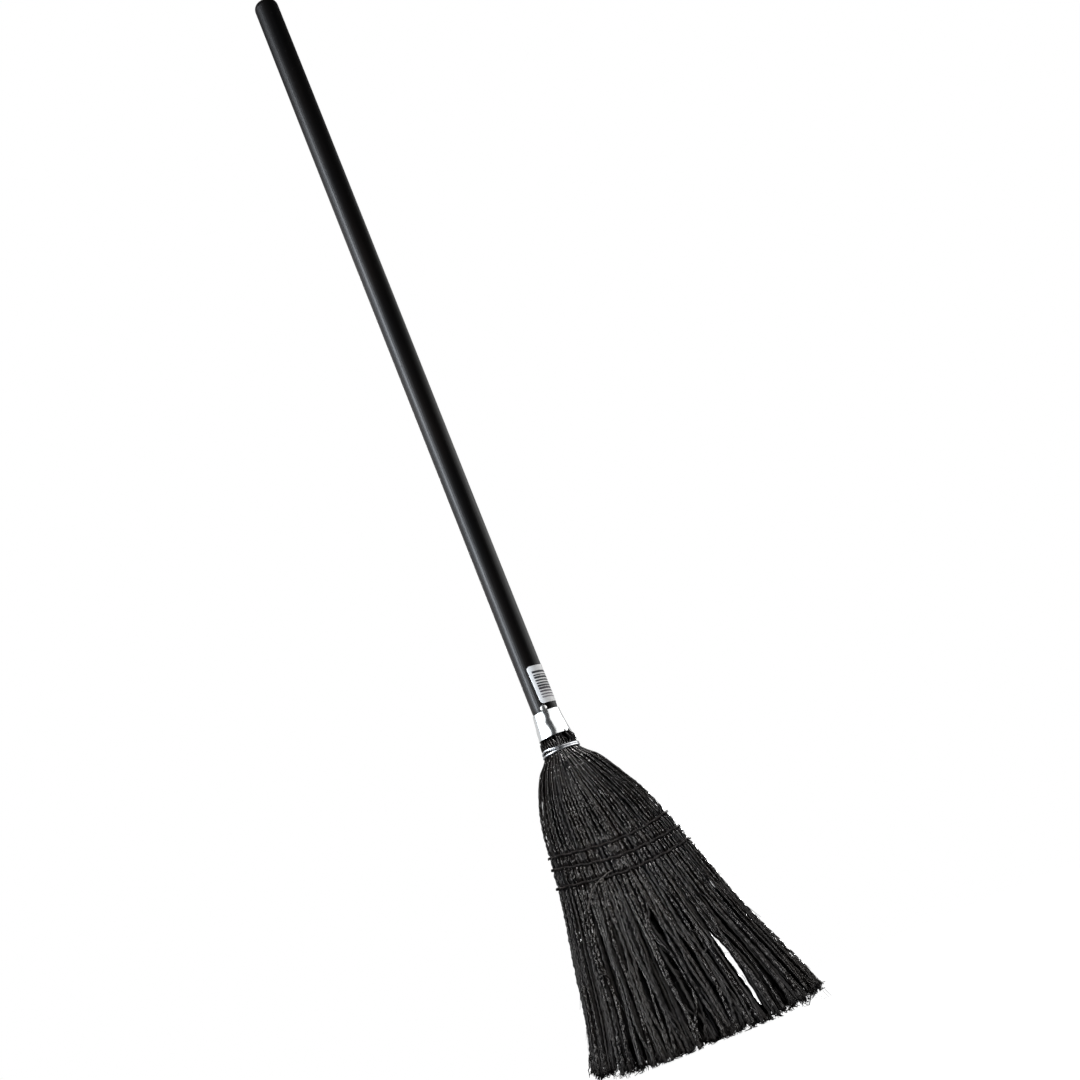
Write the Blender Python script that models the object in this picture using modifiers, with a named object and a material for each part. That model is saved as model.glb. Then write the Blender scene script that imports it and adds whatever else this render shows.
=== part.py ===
"""Upright lobby broom: a lacquered wooden handle in a wire-bound, sewn fan of synthetic fill.

Metres. +Z runs up the handle, +X is the wide way of the head, and -Y is the front.
The origin lies under the middle of the head, on the plane that the longest bristles touch.
"""
import math

import bmesh
import bpy
from mathutils import Matrix, Vector

NAME = "lobby_broom"

# Overall sizes
OVERALL = 0.9525
GAP = 0.00035
CURVE_SIDES = 2

# Handle: the shaft is its radius at heights above the ferrule
SEAT_RADIUS = 0.0100
SHAFT_RADIUS = 0.0103
SHAFT = (
    (0.2763, SEAT_RADIUS),
    (0.2783, SHAFT_RADIUS),
    (0.4500, SHAFT_RADIUS),
    (0.5600, 0.01043),
    (0.6600, 0.01054),
    (0.8200, 0.01058),
    (0.9000, 0.01052),
    (0.9400, 0.01042),
)
TIP_RADIUS = 0.0104
TIP_FILLET = 0.0060
TIP_STEPS = 6
PLUG_TOP = 0.2568
PLUG_END = 0.180
PLUG_END_RADIUS = 0.0070
PLUG_CHAMFER = 0.0010
BORE_OVERSHOOT = 0.020
HANDLE_SIDES = 40

# Sticker on the handle; angles run from the front towards +X
LABEL_BOTTOM = 0.2810
LABEL_TOP = 0.3120
LABEL_START = math.radians(-5.0)
LABEL_WIDTH = 0.025
LABEL_THICKNESS = 0.00015
LABEL_CORNER = 0.0027
LABEL_TILT = math.radians(-2.0)
LABEL_COLUMNS = 20
LABEL_CORNER_STEPS = 4

# Ferrule: outer radius at heights, top to bottom
FERRULE_OUTER = (
    (0.2758, 0.01075),
    (0.2748, 0.01085),
    (0.2667, 0.01162),
    (0.2607, 0.01235),
    (0.2549, 0.01320),
)
FERRULE_WALL = 0.00045

# Nails: head radius, head thickness, shank radius, length under the head
FRONT_NAIL = (0.00265, 0.0009, 0.0009, 0.0090)
FRONT_NAIL_HEIGHT = 0.2775
ANCHOR_NAIL = (0.00210, 0.0008, 0.0008, 0.0105)
ANCHOR_NAIL_HEIGHT = 0.2365
NAIL_HEAD_PROFILE = ((0.5, 0.92), (0.85, 0.6), (1.0, 0.2))
NAIL_POINT = 2.0
NAIL_SIDES = 20
NAIL_HOLE_SIDES = 16

# Head outline, from the handle's axis: height, reach to -X, reach to +X, half depth, squareness
HEAD = (
    (0.0000, 0.0690, 0.1186, 0.0250, 2.8),
    (0.0250, 0.0640, 0.1110, 0.0240, 2.8),
    (0.0458, 0.0590, 0.1025, 0.0230, 2.8),
    (0.0856, 0.0515, 0.0856, 0.0208, 2.8),
    (0.1324, 0.0432, 0.0697, 0.0182, 2.6),
    (0.1632, 0.0392, 0.0599, 0.0172, 2.6),
    (0.1920, 0.0360, 0.0490, 0.0180, 2.5),
    (0.2149, 0.0300, 0.0362, 0.0184, 2.3),
    (0.2308, 0.0228, 0.0258, 0.0174, 2.1),
    (0.2374, 0.0171, 0.0185, 0.0158, 2.0),
    (0.2430, 0.0137, 0.0143, 0.0139, 2.0),
    (0.2497, 0.0143, 0.0150, 0.0146, 2.0),
    (0.2547, 0.0137, 0.0138, 0.0137, 2.0),
)

# The same for the core bundle and for the hollow that the outer fill leaves round it
CORE = (
    (0.1355, 0.0270, 0.0440, 0.0110, 2.4),
    (0.1630, 0.0250, 0.0380, 0.0110, 2.4),
    (0.1920, 0.0210, 0.0290, 0.0115, 2.3),
    (0.2108, 0.0140, 0.0165, 0.0122, 2.1),
    (0.2188, 0.0115, 0.0115, 0.0115, 2.0),
    (0.2538, 0.0115, 0.0115, 0.0115, 2.0),
    (0.2548, 0.0113, 0.0113, 0.0113, 2.0),
    (0.2648, 0.0110, 0.0110, 0.0110, 2.0),
)
HOLLOW = (
    (0.1250, 0.0278, 0.0458, 0.0115, 2.4),
    (0.1355, 0.0275, 0.0445, 0.0115, 2.4),
    (0.1630, 0.0255, 0.0385, 0.0115, 2.4),
    (0.1920, 0.0216, 0.0296, 0.0120, 2.3),
    (0.2108, 0.0146, 0.0171, 0.0138, 2.1),
    (0.2188, 0.0138, 0.0138, 0.0138, 2.0),
    (0.2334, 0.0138, 0.0138, 0.0138, 2.0),
    (0.2364, 0.0119, 0.0119, 0.0119, 2.0),
    (0.2547, 0.0119, 0.0119, 0.0119, 2.0),
)
NECK_STATIONS = (0.2393, 0.2411, 0.2463)
SECTOR_SPLIT = math.radians(45)
SECTOR_HALF_GAP = 0.0005
QUARTER_STEPS = 8

# Hinge that stands for the bristles' bending, along X
FLEX_HEIGHT = 0.125
FLEX_RADIUS = 0.0100
FLEX_SHOULDER = math.radians(27)
FLEX_STEPS = 22
SOCKET_CLEARANCE = 0.00056
CUTTER_REACH = 0.20
CUTTER_DEPTH = 0.060

# Free bristles below the hinge
COLUMNS = 12
MIDDLE_COLUMNS = 4
EDGE_RISE = 0.0085
EDGE_CURVE = 1.5
TUFT_STEPS = 4
TUFT_OVERRUN = 0.002
TUFT_GAP_AT_TOP = 0.00042
TUFT_GAP_AT_TIPS = 0.0014
OUTERMOST = 0.9985
SLIT_BOUNDARY = 9
SLIT_TOP = 0.072
SLIT_WIDTH = 0.0034
SLIT_CLOSING = 0.85
TUFT_STATIONS = (0.025, 0.045, SLIT_TOP, 0.090)

# Wires
NECK_WIRE_RADIUS = 0.00075
NECK_WIRE_BOTTOM = 0.2408
NECK_WIRE_PITCH = 0.0019
NECK_WIRE_TURNS = 2.75
INNER_WIRE_RADIUS = 0.00055
INNER_WIRE_BOTTOM = 0.2218
INNER_WIRE_PITCH = 0.0025
INNER_WIRE_TURNS = 4.0
POINTS_PER_TURN = 20

# Stitching: height at the -X edge, in the middle and at the +X edge
STITCH_ROWS = {
    "stitch_row_upper": (0.1699, 0.1630, 0.1699),
    "stitch_row_middle": (0.1611, 0.1512, 0.1565),
    "stitch_row_lower": (0.1467, 0.1389, 0.1451),
}
ROW_CURVE = 1.6
TWINE_RADIUS = 0.00075
TWINE_STANDOFF = 0.0013
STITCH_POINTS = 44
TWINE_END_RADIUS = 0.0005
TWINE_END_ROUTE = (
    (-0.0070, 0.1365, 2.6),
    (-0.0085, 0.1363, 2.4),
    (-0.0100, 0.1360, 1.0),
    (-0.0140, 0.1349, 1.0),
    (-0.0180, 0.1332, 1.0),
    (-0.0213, 0.1311, 1.0),
    (-0.0240, 0.1288, 0.8),
)

# Colour, roughness, metallic
MATERIALS = {
    "lacquered_wood": ((0.012, 0.012, 0.014), 0.32, 0.0),
    "label_paper": ((0.86, 0.86, 0.85), 0.60, 0.0),
    "tinplate": ((0.80, 0.81, 0.82), 0.22, 1.0),
    "nail_steel": ((0.70, 0.70, 0.69), 0.28, 1.0),
    "galvanised_wire": ((0.74, 0.75, 0.77), 0.30, 1.0),
    "black_fill": ((0.016, 0.016, 0.018), 0.45, 0.0),
    "black_twine": ((0.014, 0.013, 0.013), 0.75, 0.0),
}


def remove_scene_objects():
    for old in list(bpy.data.objects):
        bpy.data.objects.remove(old, do_unlink=True)


def new_collection(name):
    collection = bpy.data.collections.new(name)
    bpy.context.scene.collection.children.link(collection)
    return collection


def make_material(name):
    colour, roughness, metallic = MATERIALS[name]
    made = bpy.data.materials.new(name)
    made.use_nodes = True
    shader = made.node_tree.nodes["Principled BSDF"]
    shader.inputs["Base Color"].default_value = (*colour, 1.0)
    shader.inputs["Roughness"].default_value = roughness
    shader.inputs["Metallic"].default_value = metallic
    return made


def blend_table(table, height):
    """Row of a table at a height, on smooth curves through its rows."""
    heights = [row[0] for row in table]
    height = min(max(height, heights[0]), heights[-1])
    last = len(table) - 1
    low = max(i for i in range(last) if heights[i] <= height)
    span = heights[low + 1] - heights[low]
    part = (height - heights[low]) / span

    def slope(i, column):
        before = max(i - 1, 0)
        after = min(i + 1, last)
        return (table[after][column] - table[before][column]) / (heights[after] - heights[before])

    values = []
    for column in range(1, len(table[0])):
        start = table[low][column]
        end = table[low + 1][column]
        pull = (2 * part**3 - 3 * part**2 + 1) * start + (3 * part**2 - 2 * part**3) * end
        lean = (part**3 - 2 * part**2 + part) * slope(low, column)
        lean += (part**3 - part**2) * slope(low + 1, column)
        values.append(pull + lean * span)
    return values


def straight_table(table, height):
    """Row of a table at a height, on straight lines between its rows."""
    height = min(max(height, table[0][0]), table[-1][0])
    low = max(i for i in range(len(table) - 1) if table[i][0] <= height)
    part = (height - table[low][0]) / (table[low + 1][0] - table[low][0])
    return [a + (b - a) * part for a, b in zip(table[low][1:], table[low + 1][1:])]


def edge_height(column):
    """Height of a column's cut end: the cut is a shallow arc that rises to both sides."""
    middle = (COLUMNS - 1) / 2
    off = abs(column - middle) - MIDDLE_COLUMNS / 2
    reach = middle - MIDDLE_COLUMNS / 2
    return EDGE_RISE * max(off / reach, 0) ** EDGE_CURVE


def handle_axis_x():
    """Place of the handle's axis: the head leans to +X, and the origin is under its middle."""
    left = blend_table(HEAD, edge_height(0))
    right = blend_table(HEAD, edge_height(COLUMNS - 1))
    left_edge = (left[1] - left[0]) / 2 - OUTERMOST * (left[1] + left[0]) / 2
    right_edge = (right[1] - right[0]) / 2 + OUTERMOST * (right[1] + right[0]) / 2
    return -(left_edge + right_edge) / 2


AXIS_X = handle_axis_x()


def ring_point(row, angle, height, grow=0.0):
    """Point on a section's outline. Angle 0 is +X and -90 degrees is the front."""
    left, right, depth, squareness = row
    power = 2 / squareness
    cosine = math.cos(angle)
    sine = math.sin(angle)
    half = (left + right) / 2 + grow
    x = (right - left) / 2 + half * math.copysign(abs(cosine) ** power, cosine)
    y = (depth + grow) * math.copysign(abs(sine) ** power, sine)
    return Vector((AXIS_X + x, y, height))


def finish_object(name, mesh, collection, material, smooth=40):
    mesh.materials.append(material)
    if smooth:
        mesh.shade_smooth()
        mesh.set_sharp_from_angle(angle=math.radians(smooth))
    made = bpy.data.objects.new(name, mesh)
    collection.objects.link(made)
    return made


def mesh_from(name, bm):
    bmesh.ops.recalc_face_normals(bm, faces=bm.faces)
    mesh = bpy.data.meshes.new(name)
    bm.to_mesh(mesh)
    bm.free()
    return mesh


def rail_loft(name, stations, collection, material):
    """Closed body between two rails of equal count at each station."""
    bm = bmesh.new()
    rings = []
    for outer, inner in stations:
        rings.append([bm.verts.new(point) for point in list(outer) + list(reversed(inner))])
    count = len(rings[0])
    for lower, upper in zip(rings, rings[1:]):
        for i in range(count):
            j = (i + 1) % count
            bm.faces.new((lower[i], lower[j], upper[j], upper[i]))
    for ring in (rings[0], rings[-1]):
        for i in range(count // 2 - 1):
            bm.faces.new((ring[i], ring[i + 1], ring[count - 2 - i], ring[count - 1 - i]))
    return finish_object(name, mesh_from(name, bm), collection, material)


def ring_loft(name, rings_of_points, collection, material):
    """Closed body through closed rings, with a flat cap at each end."""
    bm = bmesh.new()
    rings = [[bm.verts.new(point) for point in points] for points in rings_of_points]
    count = len(rings[0])
    for lower, upper in zip(rings, rings[1:]):
        for i in range(count):
            j = (i + 1) % count
            bm.faces.new((lower[i], lower[j], upper[j], upper[i]))
    bm.faces.new(rings[0])
    bm.faces.new(rings[-1])
    return finish_object(name, mesh_from(name, bm), collection, material)


def turned(name, profile, sides, collection, material, closed=False):
    """Body turned about Z from a profile of (radius, height), outer side from top to bottom."""
    bm = bmesh.new()
    points = [bm.verts.new((radius, 0.0, height)) for radius, height in profile]
    for first, second in zip(points, points[1:]):
        bm.edges.new((first, second))
    if closed:
        bm.edges.new((points[-1], points[0]))
    mesh = bpy.data.meshes.new(name)
    bm.to_mesh(mesh)
    bm.free()
    made = finish_object(name, mesh, collection, material, smooth=0)
    screw = made.modifiers.new("turn", "SCREW")
    screw.axis = "Z"
    screw.steps = sides
    screw.render_steps = sides
    screw.use_merge_vertices = True
    screw.merge_threshold = 0.00001
    screw.use_smooth_shade = True
    return made


def wire(name, points, radius, collection, material, closed=False, swell=None):
    """Round wire or twine along points; swell gives the thickness at each of them."""
    curve = bpy.data.curves.new(name, "CURVE")
    curve.dimensions = "3D"
    curve.bevel_depth = radius
    curve.bevel_resolution = CURVE_SIDES
    curve.use_fill_caps = True
    spline = curve.splines.new("POLY")
    spline.points.add(len(points) - 1)
    for i, (point, target) in enumerate(zip(points, spline.points)):
        target.co = (*point, 1.0)
        target.radius = swell[i] if swell else 1.0
    spline.use_cyclic_u = closed
    curve.materials.append(material)
    made = bpy.data.objects.new(name, curve)
    collection.objects.link(made)
    return made


def outline_cutter(name, outline, half_length, collection):
    """Cutter with a (y, z) outline, extruded along X both ways from the origin."""
    curve = bpy.data.curves.new(name, "CURVE")
    curve.dimensions = "2D"
    curve.fill_mode = "BOTH"
    curve.extrude = half_length
    spline = curve.splines.new("POLY")
    spline.points.add(len(outline) - 1)
    for (y, z), target in zip(outline, spline.points):
        target.co = (y, z, 0.0, 1.0)
    spline.use_cyclic_u = True
    flat = bpy.data.objects.new(name + "_outline", curve)
    collection.objects.link(flat)
    bpy.context.view_layer.update()
    mesh = bpy.data.meshes.new_from_object(flat.evaluated_get(bpy.context.evaluated_depsgraph_get()))
    bpy.data.objects.remove(flat, do_unlink=True)
    bm = bmesh.new()
    bm.from_mesh(mesh)
    bmesh.ops.remove_doubles(bm, verts=bm.verts, dist=0.000001)
    bmesh.ops.recalc_face_normals(bm, faces=bm.faces)
    bm.to_mesh(mesh)
    bm.free()
    mesh.transform(Matrix(((0, 0, 1, 0), (1, 0, 0, 0), (0, 1, 0, 0), (0, 0, 0, 1))))
    made = bpy.data.objects.new(name, mesh)
    collection.objects.link(made)
    return as_cutter(made)


def as_cutter(made):
    made.hide_render = True
    made.display_type = "WIRE"
    return made


def boolean(target, cutter, operation):
    step = target.modifiers.new(cutter.name, "BOOLEAN")
    step.operation = operation
    step.solver = "EXACT"
    step.object = cutter


def plug_radius(height):
    """Radius of the tapered plug inside the head."""
    part = (PLUG_TOP - height) / (PLUG_TOP - PLUG_END)
    return SEAT_RADIUS + (PLUG_END_RADIUS - SEAT_RADIUS) * part


def plug_profile(grow):
    """Outer side of the plug from its top down, widened by grow."""
    return [
        (SEAT_RADIUS + grow, PLUG_TOP),
        (plug_radius(PLUG_END + PLUG_CHAMFER) + grow, PLUG_END + PLUG_CHAMFER),
        (PLUG_END_RADIUS - PLUG_CHAMFER + grow, PLUG_END - grow),
        (0.0, PLUG_END - grow),
    ]


def make_handle(collection, cutters, material):
    profile = [(0.0, OVERALL)]
    for i in range(TIP_STEPS + 1):
        turn = math.pi / 2 * (1 - i / TIP_STEPS)
        radius = TIP_RADIUS - TIP_FILLET + TIP_FILLET * math.cos(turn)
        profile.append((radius, OVERALL - TIP_FILLET + TIP_FILLET * math.sin(turn)))
    profile += [(radius, height) for height, radius in reversed(SHAFT)]
    profile += plug_profile(0.0)
    handle = turned("handle", profile, HANDLE_SIDES, collection, material)
    handle.location.x = AXIS_X
    for name, size, height, front in nail_seats():
        hole = make_nail_hole("handle_hole_" + name, size, height, front, cutters)
        boolean(handle, hole, "DIFFERENCE")
    return handle


def nail_seats():
    return (
        ("front", FRONT_NAIL, FRONT_NAIL_HEIGHT, True),
        ("rear", ANCHOR_NAIL, ANCHOR_NAIL_HEIGHT, False),
    )


def head_back(front):
    """Distance from the handle's axis to the back of a nail's head."""
    if front:
        return FERRULE_OUTER[1][1] + GAP
    lowest = ANCHOR_NAIL_HEIGHT - ANCHOR_NAIL[0]
    return blend_table(HEAD, lowest)[2] + GAP


def make_nail_hole(name, size, height, front, cutters):
    _, thickness, shank, length = size
    deep = head_back(front) - length - GAP
    outer = head_back(front) + thickness
    side = -1 if front else 1
    bpy.ops.mesh.primitive_cylinder_add(
        vertices=NAIL_HOLE_SIDES,
        radius=shank + GAP,
        depth=outer - deep,
        location=(AXIS_X, side * (outer + deep) / 2, height),
        rotation=(math.radians(90), 0, 0),
    )
    hole = bpy.context.active_object
    hole.name = name
    for collection in list(hole.users_collection):
        collection.objects.unlink(hole)
    cutters.objects.link(hole)
    return as_cutter(hole)


def make_nail(name, size, height, front, collection, material):
    """Nail with its length along local Z and the back of its head at the origin."""
    head, thickness, shank, length = size
    profile = [(0.0, thickness)]
    profile += [(head * wide, thickness * high) for wide, high in NAIL_HEAD_PROFILE]
    profile += [(head, 0.0), (shank, 0.0), (shank, shank * NAIL_POINT - length), (0.0, -length)]
    nail = turned(name, profile, NAIL_SIDES, collection, material)
    nail.rotation_euler = (math.radians(90 if front else -90), 0, 0)
    nail.location = (AXIS_X, head_back(front) * (-1 if front else 1), height)
    return nail


def make_ferrule(collection, material):
    outer = [(radius, height) for height, radius in FERRULE_OUTER]
    inner = [(radius - FERRULE_WALL, height) for radius, height in reversed(outer)]
    ferrule = turned("ferrule", outer + inner, HANDLE_SIDES, collection, material, closed=True)
    ferrule.location.x = AXIS_X
    return ferrule


def make_label(collection, material):
    """Sticker: a thin sheet bent round the handle, with rounded corners."""
    inner_radius = SHAFT_RADIUS + GAP
    span = LABEL_WIDTH / inner_radius
    corner_turn = LABEL_CORNER / inner_radius
    middle = (LABEL_TOP + LABEL_BOTTOM) / 2
    insets = []
    for i in range(LABEL_CORNER_STEPS + 1):
        turn = math.pi / 2 * i / LABEL_CORNER_STEPS
        insets.append((LABEL_CORNER * (1 - math.sin(turn)), corner_turn * (1 - math.cos(turn))))
    levels = [(LABEL_BOTTOM + drop, cut) for drop, cut in reversed(insets)]
    levels += [(LABEL_TOP - drop, cut) for drop, cut in insets]
    stations = []
    for height, cut in levels:
        lean = (height - middle) * math.tan(LABEL_TILT) / inner_radius
        start = LABEL_START + cut + lean
        width = span - 2 * cut
        rails = []
        for radius in (inner_radius + LABEL_THICKNESS, inner_radius):
            rail = []
            for i in range(LABEL_COLUMNS + 1):
                turn = start + width * i / LABEL_COLUMNS
                rail.append((AXIS_X + radius * math.sin(turn), -radius * math.cos(turn), height))
            rails.append(rail)
        stations.append(rails)
    return rail_loft("sticker", stations, collection, material)


def make_core(collection, cutters, material):
    steps = 4 * QUARTER_STEPS
    rings = []
    for height in [row[0] for row in CORE]:
        row = straight_table(CORE, height)
        rings.append([ring_point(row, math.tau * i / steps, height) for i in range(steps)])
    core = ring_loft("core_bundle", rings, collection, material)
    top = PLUG_TOP + BORE_OVERSHOOT
    profile = [(0.0, top), (SEAT_RADIUS + GAP, top)]
    bore = turned("plug_bore", profile + plug_profile(GAP), HANDLE_SIDES, cutters, material)
    bore.location.x = AXIS_X
    boolean(core, as_cutter(bore), "DIFFERENCE")
    boolean(core, bpy.data.objects["handle_hole_rear"], "DIFFERENCE")
    return core


def make_sector(name, start, end, collection, material):
    """Part of the outer fill between two angles, from the ferrule down to the hinge."""
    heights = sorted({row[0] for row in HEAD} | {row[0] for row in HOLLOW})
    lowest = FLEX_HEIGHT + GAP
    highest = HEAD[-1][0] - GAP
    heights = [lowest] + [z for z in heights if lowest < z < highest] + [highest]
    heights = sorted(heights + list(NECK_STATIONS))
    half_gap = SECTOR_HALF_GAP / HOLLOW[-1][1]
    steps = round((end - start) / (math.pi / 2) * QUARTER_STEPS)
    stations = []
    for height in heights:
        rails = []
        for row in (blend_table(HEAD, height), straight_table(HOLLOW, height)):
            rail = []
            for i in range(steps + 1):
                turn = start + half_gap + (end - start - 2 * half_gap) * i / steps
                rail.append(ring_point(row, turn, height))
            rails.append(rail)
        stations.append(rails)
    sector = rail_loft(name, stations, collection, material)
    boolean(sector, bpy.data.objects["flex_socket"], "DIFFERENCE")
    return sector


def make_flex_cutters(cutters):
    """Socket cut from the head, and the block that the bristle tufts are trimmed to."""
    bpy.ops.mesh.primitive_cylinder_add(
        vertices=2 * FLEX_STEPS,
        radius=FLEX_RADIUS + SOCKET_CLEARANCE,
        depth=2 * CUTTER_REACH,
        location=(0, 0, FLEX_HEIGHT),
        rotation=(0, math.radians(90), 0),
    )
    socket = bpy.context.active_object
    socket.name = "flex_socket"
    for collection in list(socket.users_collection):
        collection.objects.unlink(socket)
    cutters.objects.link(socket)
    as_cutter(socket)
    drop = FLEX_HEIGHT - CUTTER_DEPTH * math.tan(FLEX_SHOULDER)
    outline = [(-CUTTER_DEPTH, -CUTTER_DEPTH), (-CUTTER_DEPTH, drop)]
    sweep = math.pi + 2 * FLEX_SHOULDER
    for i in range(FLEX_STEPS + 1):
        turn = math.pi + FLEX_SHOULDER - sweep * i / FLEX_STEPS
        outline.append((FLEX_RADIUS * math.cos(turn), FLEX_HEIGHT + FLEX_RADIUS * math.sin(turn)))
    outline += [(CUTTER_DEPTH, drop), (CUTTER_DEPTH, -CUTTER_DEPTH)]
    return outline_cutter("tuft_trim", outline, CUTTER_REACH, cutters)


def boundary_gap(boundary, height):
    """Width of the gap between two columns: it opens downward, and one gap is a wide slit."""
    down = 1 - min(height / FLEX_HEIGHT, 1)
    gap = TUFT_GAP_AT_TOP + (TUFT_GAP_AT_TIPS - TUFT_GAP_AT_TOP) * down
    if boundary == SLIT_BOUNDARY and height < SLIT_TOP:
        part = 1 - height / SLIT_TOP
        gap += SLIT_WIDTH * math.sin(math.pi * part * SLIT_CLOSING)
    return gap


def tuft_rails(column, height, side):
    left, right, depth, squareness = blend_table(HEAD, height)
    half = (left + right) / 2
    middle = (right - left) / 2
    edges = []
    for boundary, inward in ((column, 1), (column + 1, -1)):
        place = -1 + 2 * boundary / COLUMNS
        place += inward * boundary_gap(boundary, height) / 2 / half
        edges.append(min(max(place, -OUTERMOST), OUTERMOST))
    turns = [math.acos(place) for place in edges]
    outer = []
    inner = []
    for i in range(TUFT_STEPS + 1):
        place = math.cos(turns[0] + (turns[1] - turns[0]) * i / TUFT_STEPS)
        reach = depth * (1 - abs(place) ** squareness) ** (1 / squareness)
        x = AXIS_X + middle + half * place
        outer.append((x, side * reach, height))
        inner.append((x, side * TUFT_GAP_AT_TOP / 2, height))
    return outer, inner


def make_tuft(column, side, collection, material):
    name = "bristle_tuft_{}_{:02d}".format("front" if side < 0 else "rear", column + 1)
    top = FLEX_HEIGHT + FLEX_RADIUS + TUFT_OVERRUN
    heights = [edge_height(column), *TUFT_STATIONS, FLEX_HEIGHT, top]
    stations = [tuft_rails(column, height, side) for height in heights]
    tuft = rail_loft(name, stations, collection, material)
    boolean(tuft, bpy.data.objects["tuft_trim"], "INTERSECT")
    return tuft


def helix(radius_at, bottom, pitch, turns):
    points = []
    count = round(turns * POINTS_PER_TURN)
    for i in range(count + 1):
        turn = math.tau * i / POINTS_PER_TURN + math.pi / 2
        height = bottom + pitch * i / POINTS_PER_TURN
        radius = radius_at(height)
        points.append((AXIS_X + radius * math.cos(turn), radius * math.sin(turn), height))
    return points


def make_neck_wire(collection, material):
    def radius_at(height):
        below = blend_table(HEAD, height - NECK_WIRE_RADIUS)
        above = blend_table(HEAD, height + NECK_WIRE_RADIUS)
        return max(below[:3] + above[:3]) + NECK_WIRE_RADIUS + GAP

    points = helix(radius_at, NECK_WIRE_BOTTOM, NECK_WIRE_PITCH, NECK_WIRE_TURNS)
    return wire("neck_wire", points, NECK_WIRE_RADIUS, collection, material)


def make_inner_wire(collection, material):
    radius = (CORE[4][1] + HOLLOW[5][1]) / 2
    points = helix(lambda height: radius, INNER_WIRE_BOTTOM, INNER_WIRE_PITCH, INNER_WIRE_TURNS)
    return wire("inner_binding_wire", points, INNER_WIRE_RADIUS, collection, material)


def make_stitch_row(name, collection, material):
    at_left, at_middle, at_right = STITCH_ROWS[name]
    points = []
    for i in range(STITCH_POINTS):
        turn = math.tau * i / STITCH_POINTS
        edge = at_right if math.cos(turn) > 0 else at_left
        height = at_middle + (edge - at_middle) * abs(math.cos(turn)) ** ROW_CURVE
        points.append(ring_point(blend_table(HEAD, height), turn, height, TWINE_STANDOFF))
    return wire(name, points, TWINE_RADIUS, collection, material, closed=True)


def make_twine_end(collection, material):
    points = []
    swell = []
    for x, height, thickness in TWINE_END_ROUTE:
        depth = blend_table(HEAD, height)[2]
        lift = TWINE_END_RADIUS * thickness + 2 * GAP
        points.append((AXIS_X + x, -(depth + lift), height))
        swell.append(thickness)
    return wire("twine_end", points, TWINE_END_RADIUS, collection, material, swell=swell)


def make_broom():
    remove_scene_objects()
    broom = new_collection(NAME)
    cutters = new_collection(NAME + "_cutters")
    looks = {name: make_material(name) for name in MATERIALS}

    make_flex_cutters(cutters)
    make_handle(broom, cutters, looks["lacquered_wood"])
    make_label(broom, looks["label_paper"])
    make_ferrule(broom, looks["tinplate"])
    for name, (_, size, height, front) in zip(("ferrule_nail", "wire_anchor_nail"), nail_seats()):
        make_nail(name, size, height, front, broom, looks["nail_steel"])
    make_core(broom, cutters, looks["black_fill"])
    make_inner_wire(broom, looks["galvanised_wire"])

    quarter = math.pi / 2
    sectors = (("shoulder_right", 0), ("cover_rear", 1), ("shoulder_left", 2), ("cover_front", 3))
    for name, place in sectors:
        start = place * quarter - SECTOR_SPLIT
        sector = make_sector(name, start, start + quarter, broom, looks["black_fill"])
        if name == "cover_rear":
            boolean(sector, bpy.data.objects["handle_hole_rear"], "DIFFERENCE")
    make_neck_wire(broom, looks["galvanised_wire"])
    for name in STITCH_ROWS:
        make_stitch_row(name, broom, looks["black_twine"])
    make_twine_end(broom, looks["black_twine"])
    for column in range(COLUMNS):
        for side in (-1, 1):
            make_tuft(column, side, broom, looks["black_fill"])


make_broom()
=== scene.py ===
"""Looks of the lobby broom: crimped strands, stitching, neck wire, ferrule, sticker and lacquer.

Everything is in metres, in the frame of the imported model: +Z runs up the handle, +X is the wide
way of the head, and -Y is the front.
"""
import math

import bpy
import numpy as np
from mathutils import Euler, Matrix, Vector


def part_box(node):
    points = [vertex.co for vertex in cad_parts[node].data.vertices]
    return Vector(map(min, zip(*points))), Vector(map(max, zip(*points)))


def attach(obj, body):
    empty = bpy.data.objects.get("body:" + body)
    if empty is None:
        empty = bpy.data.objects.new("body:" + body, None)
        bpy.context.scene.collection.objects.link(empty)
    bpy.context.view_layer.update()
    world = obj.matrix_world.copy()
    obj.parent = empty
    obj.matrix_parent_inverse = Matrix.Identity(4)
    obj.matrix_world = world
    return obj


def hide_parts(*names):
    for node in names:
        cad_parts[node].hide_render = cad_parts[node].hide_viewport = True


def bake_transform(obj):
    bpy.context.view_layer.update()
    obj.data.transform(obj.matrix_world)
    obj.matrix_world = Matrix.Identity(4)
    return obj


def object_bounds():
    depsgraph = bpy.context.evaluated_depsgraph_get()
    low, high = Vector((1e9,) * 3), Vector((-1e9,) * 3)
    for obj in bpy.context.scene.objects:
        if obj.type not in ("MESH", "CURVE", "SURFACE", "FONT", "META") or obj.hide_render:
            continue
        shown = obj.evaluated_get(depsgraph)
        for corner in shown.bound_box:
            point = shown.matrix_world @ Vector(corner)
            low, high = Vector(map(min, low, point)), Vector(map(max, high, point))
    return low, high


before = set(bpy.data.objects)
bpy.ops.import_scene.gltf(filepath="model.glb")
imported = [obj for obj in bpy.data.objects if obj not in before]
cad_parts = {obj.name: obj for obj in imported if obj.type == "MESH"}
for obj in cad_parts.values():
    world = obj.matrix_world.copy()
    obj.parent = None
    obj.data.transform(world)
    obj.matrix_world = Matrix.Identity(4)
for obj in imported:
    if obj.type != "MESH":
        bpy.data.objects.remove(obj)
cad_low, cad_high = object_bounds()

HEAD_BODY = "broom"

# Places taken from the frame
handle_low, handle_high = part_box("handle")
AXIS_X = (handle_low.x + handle_high.x) / 2

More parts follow.
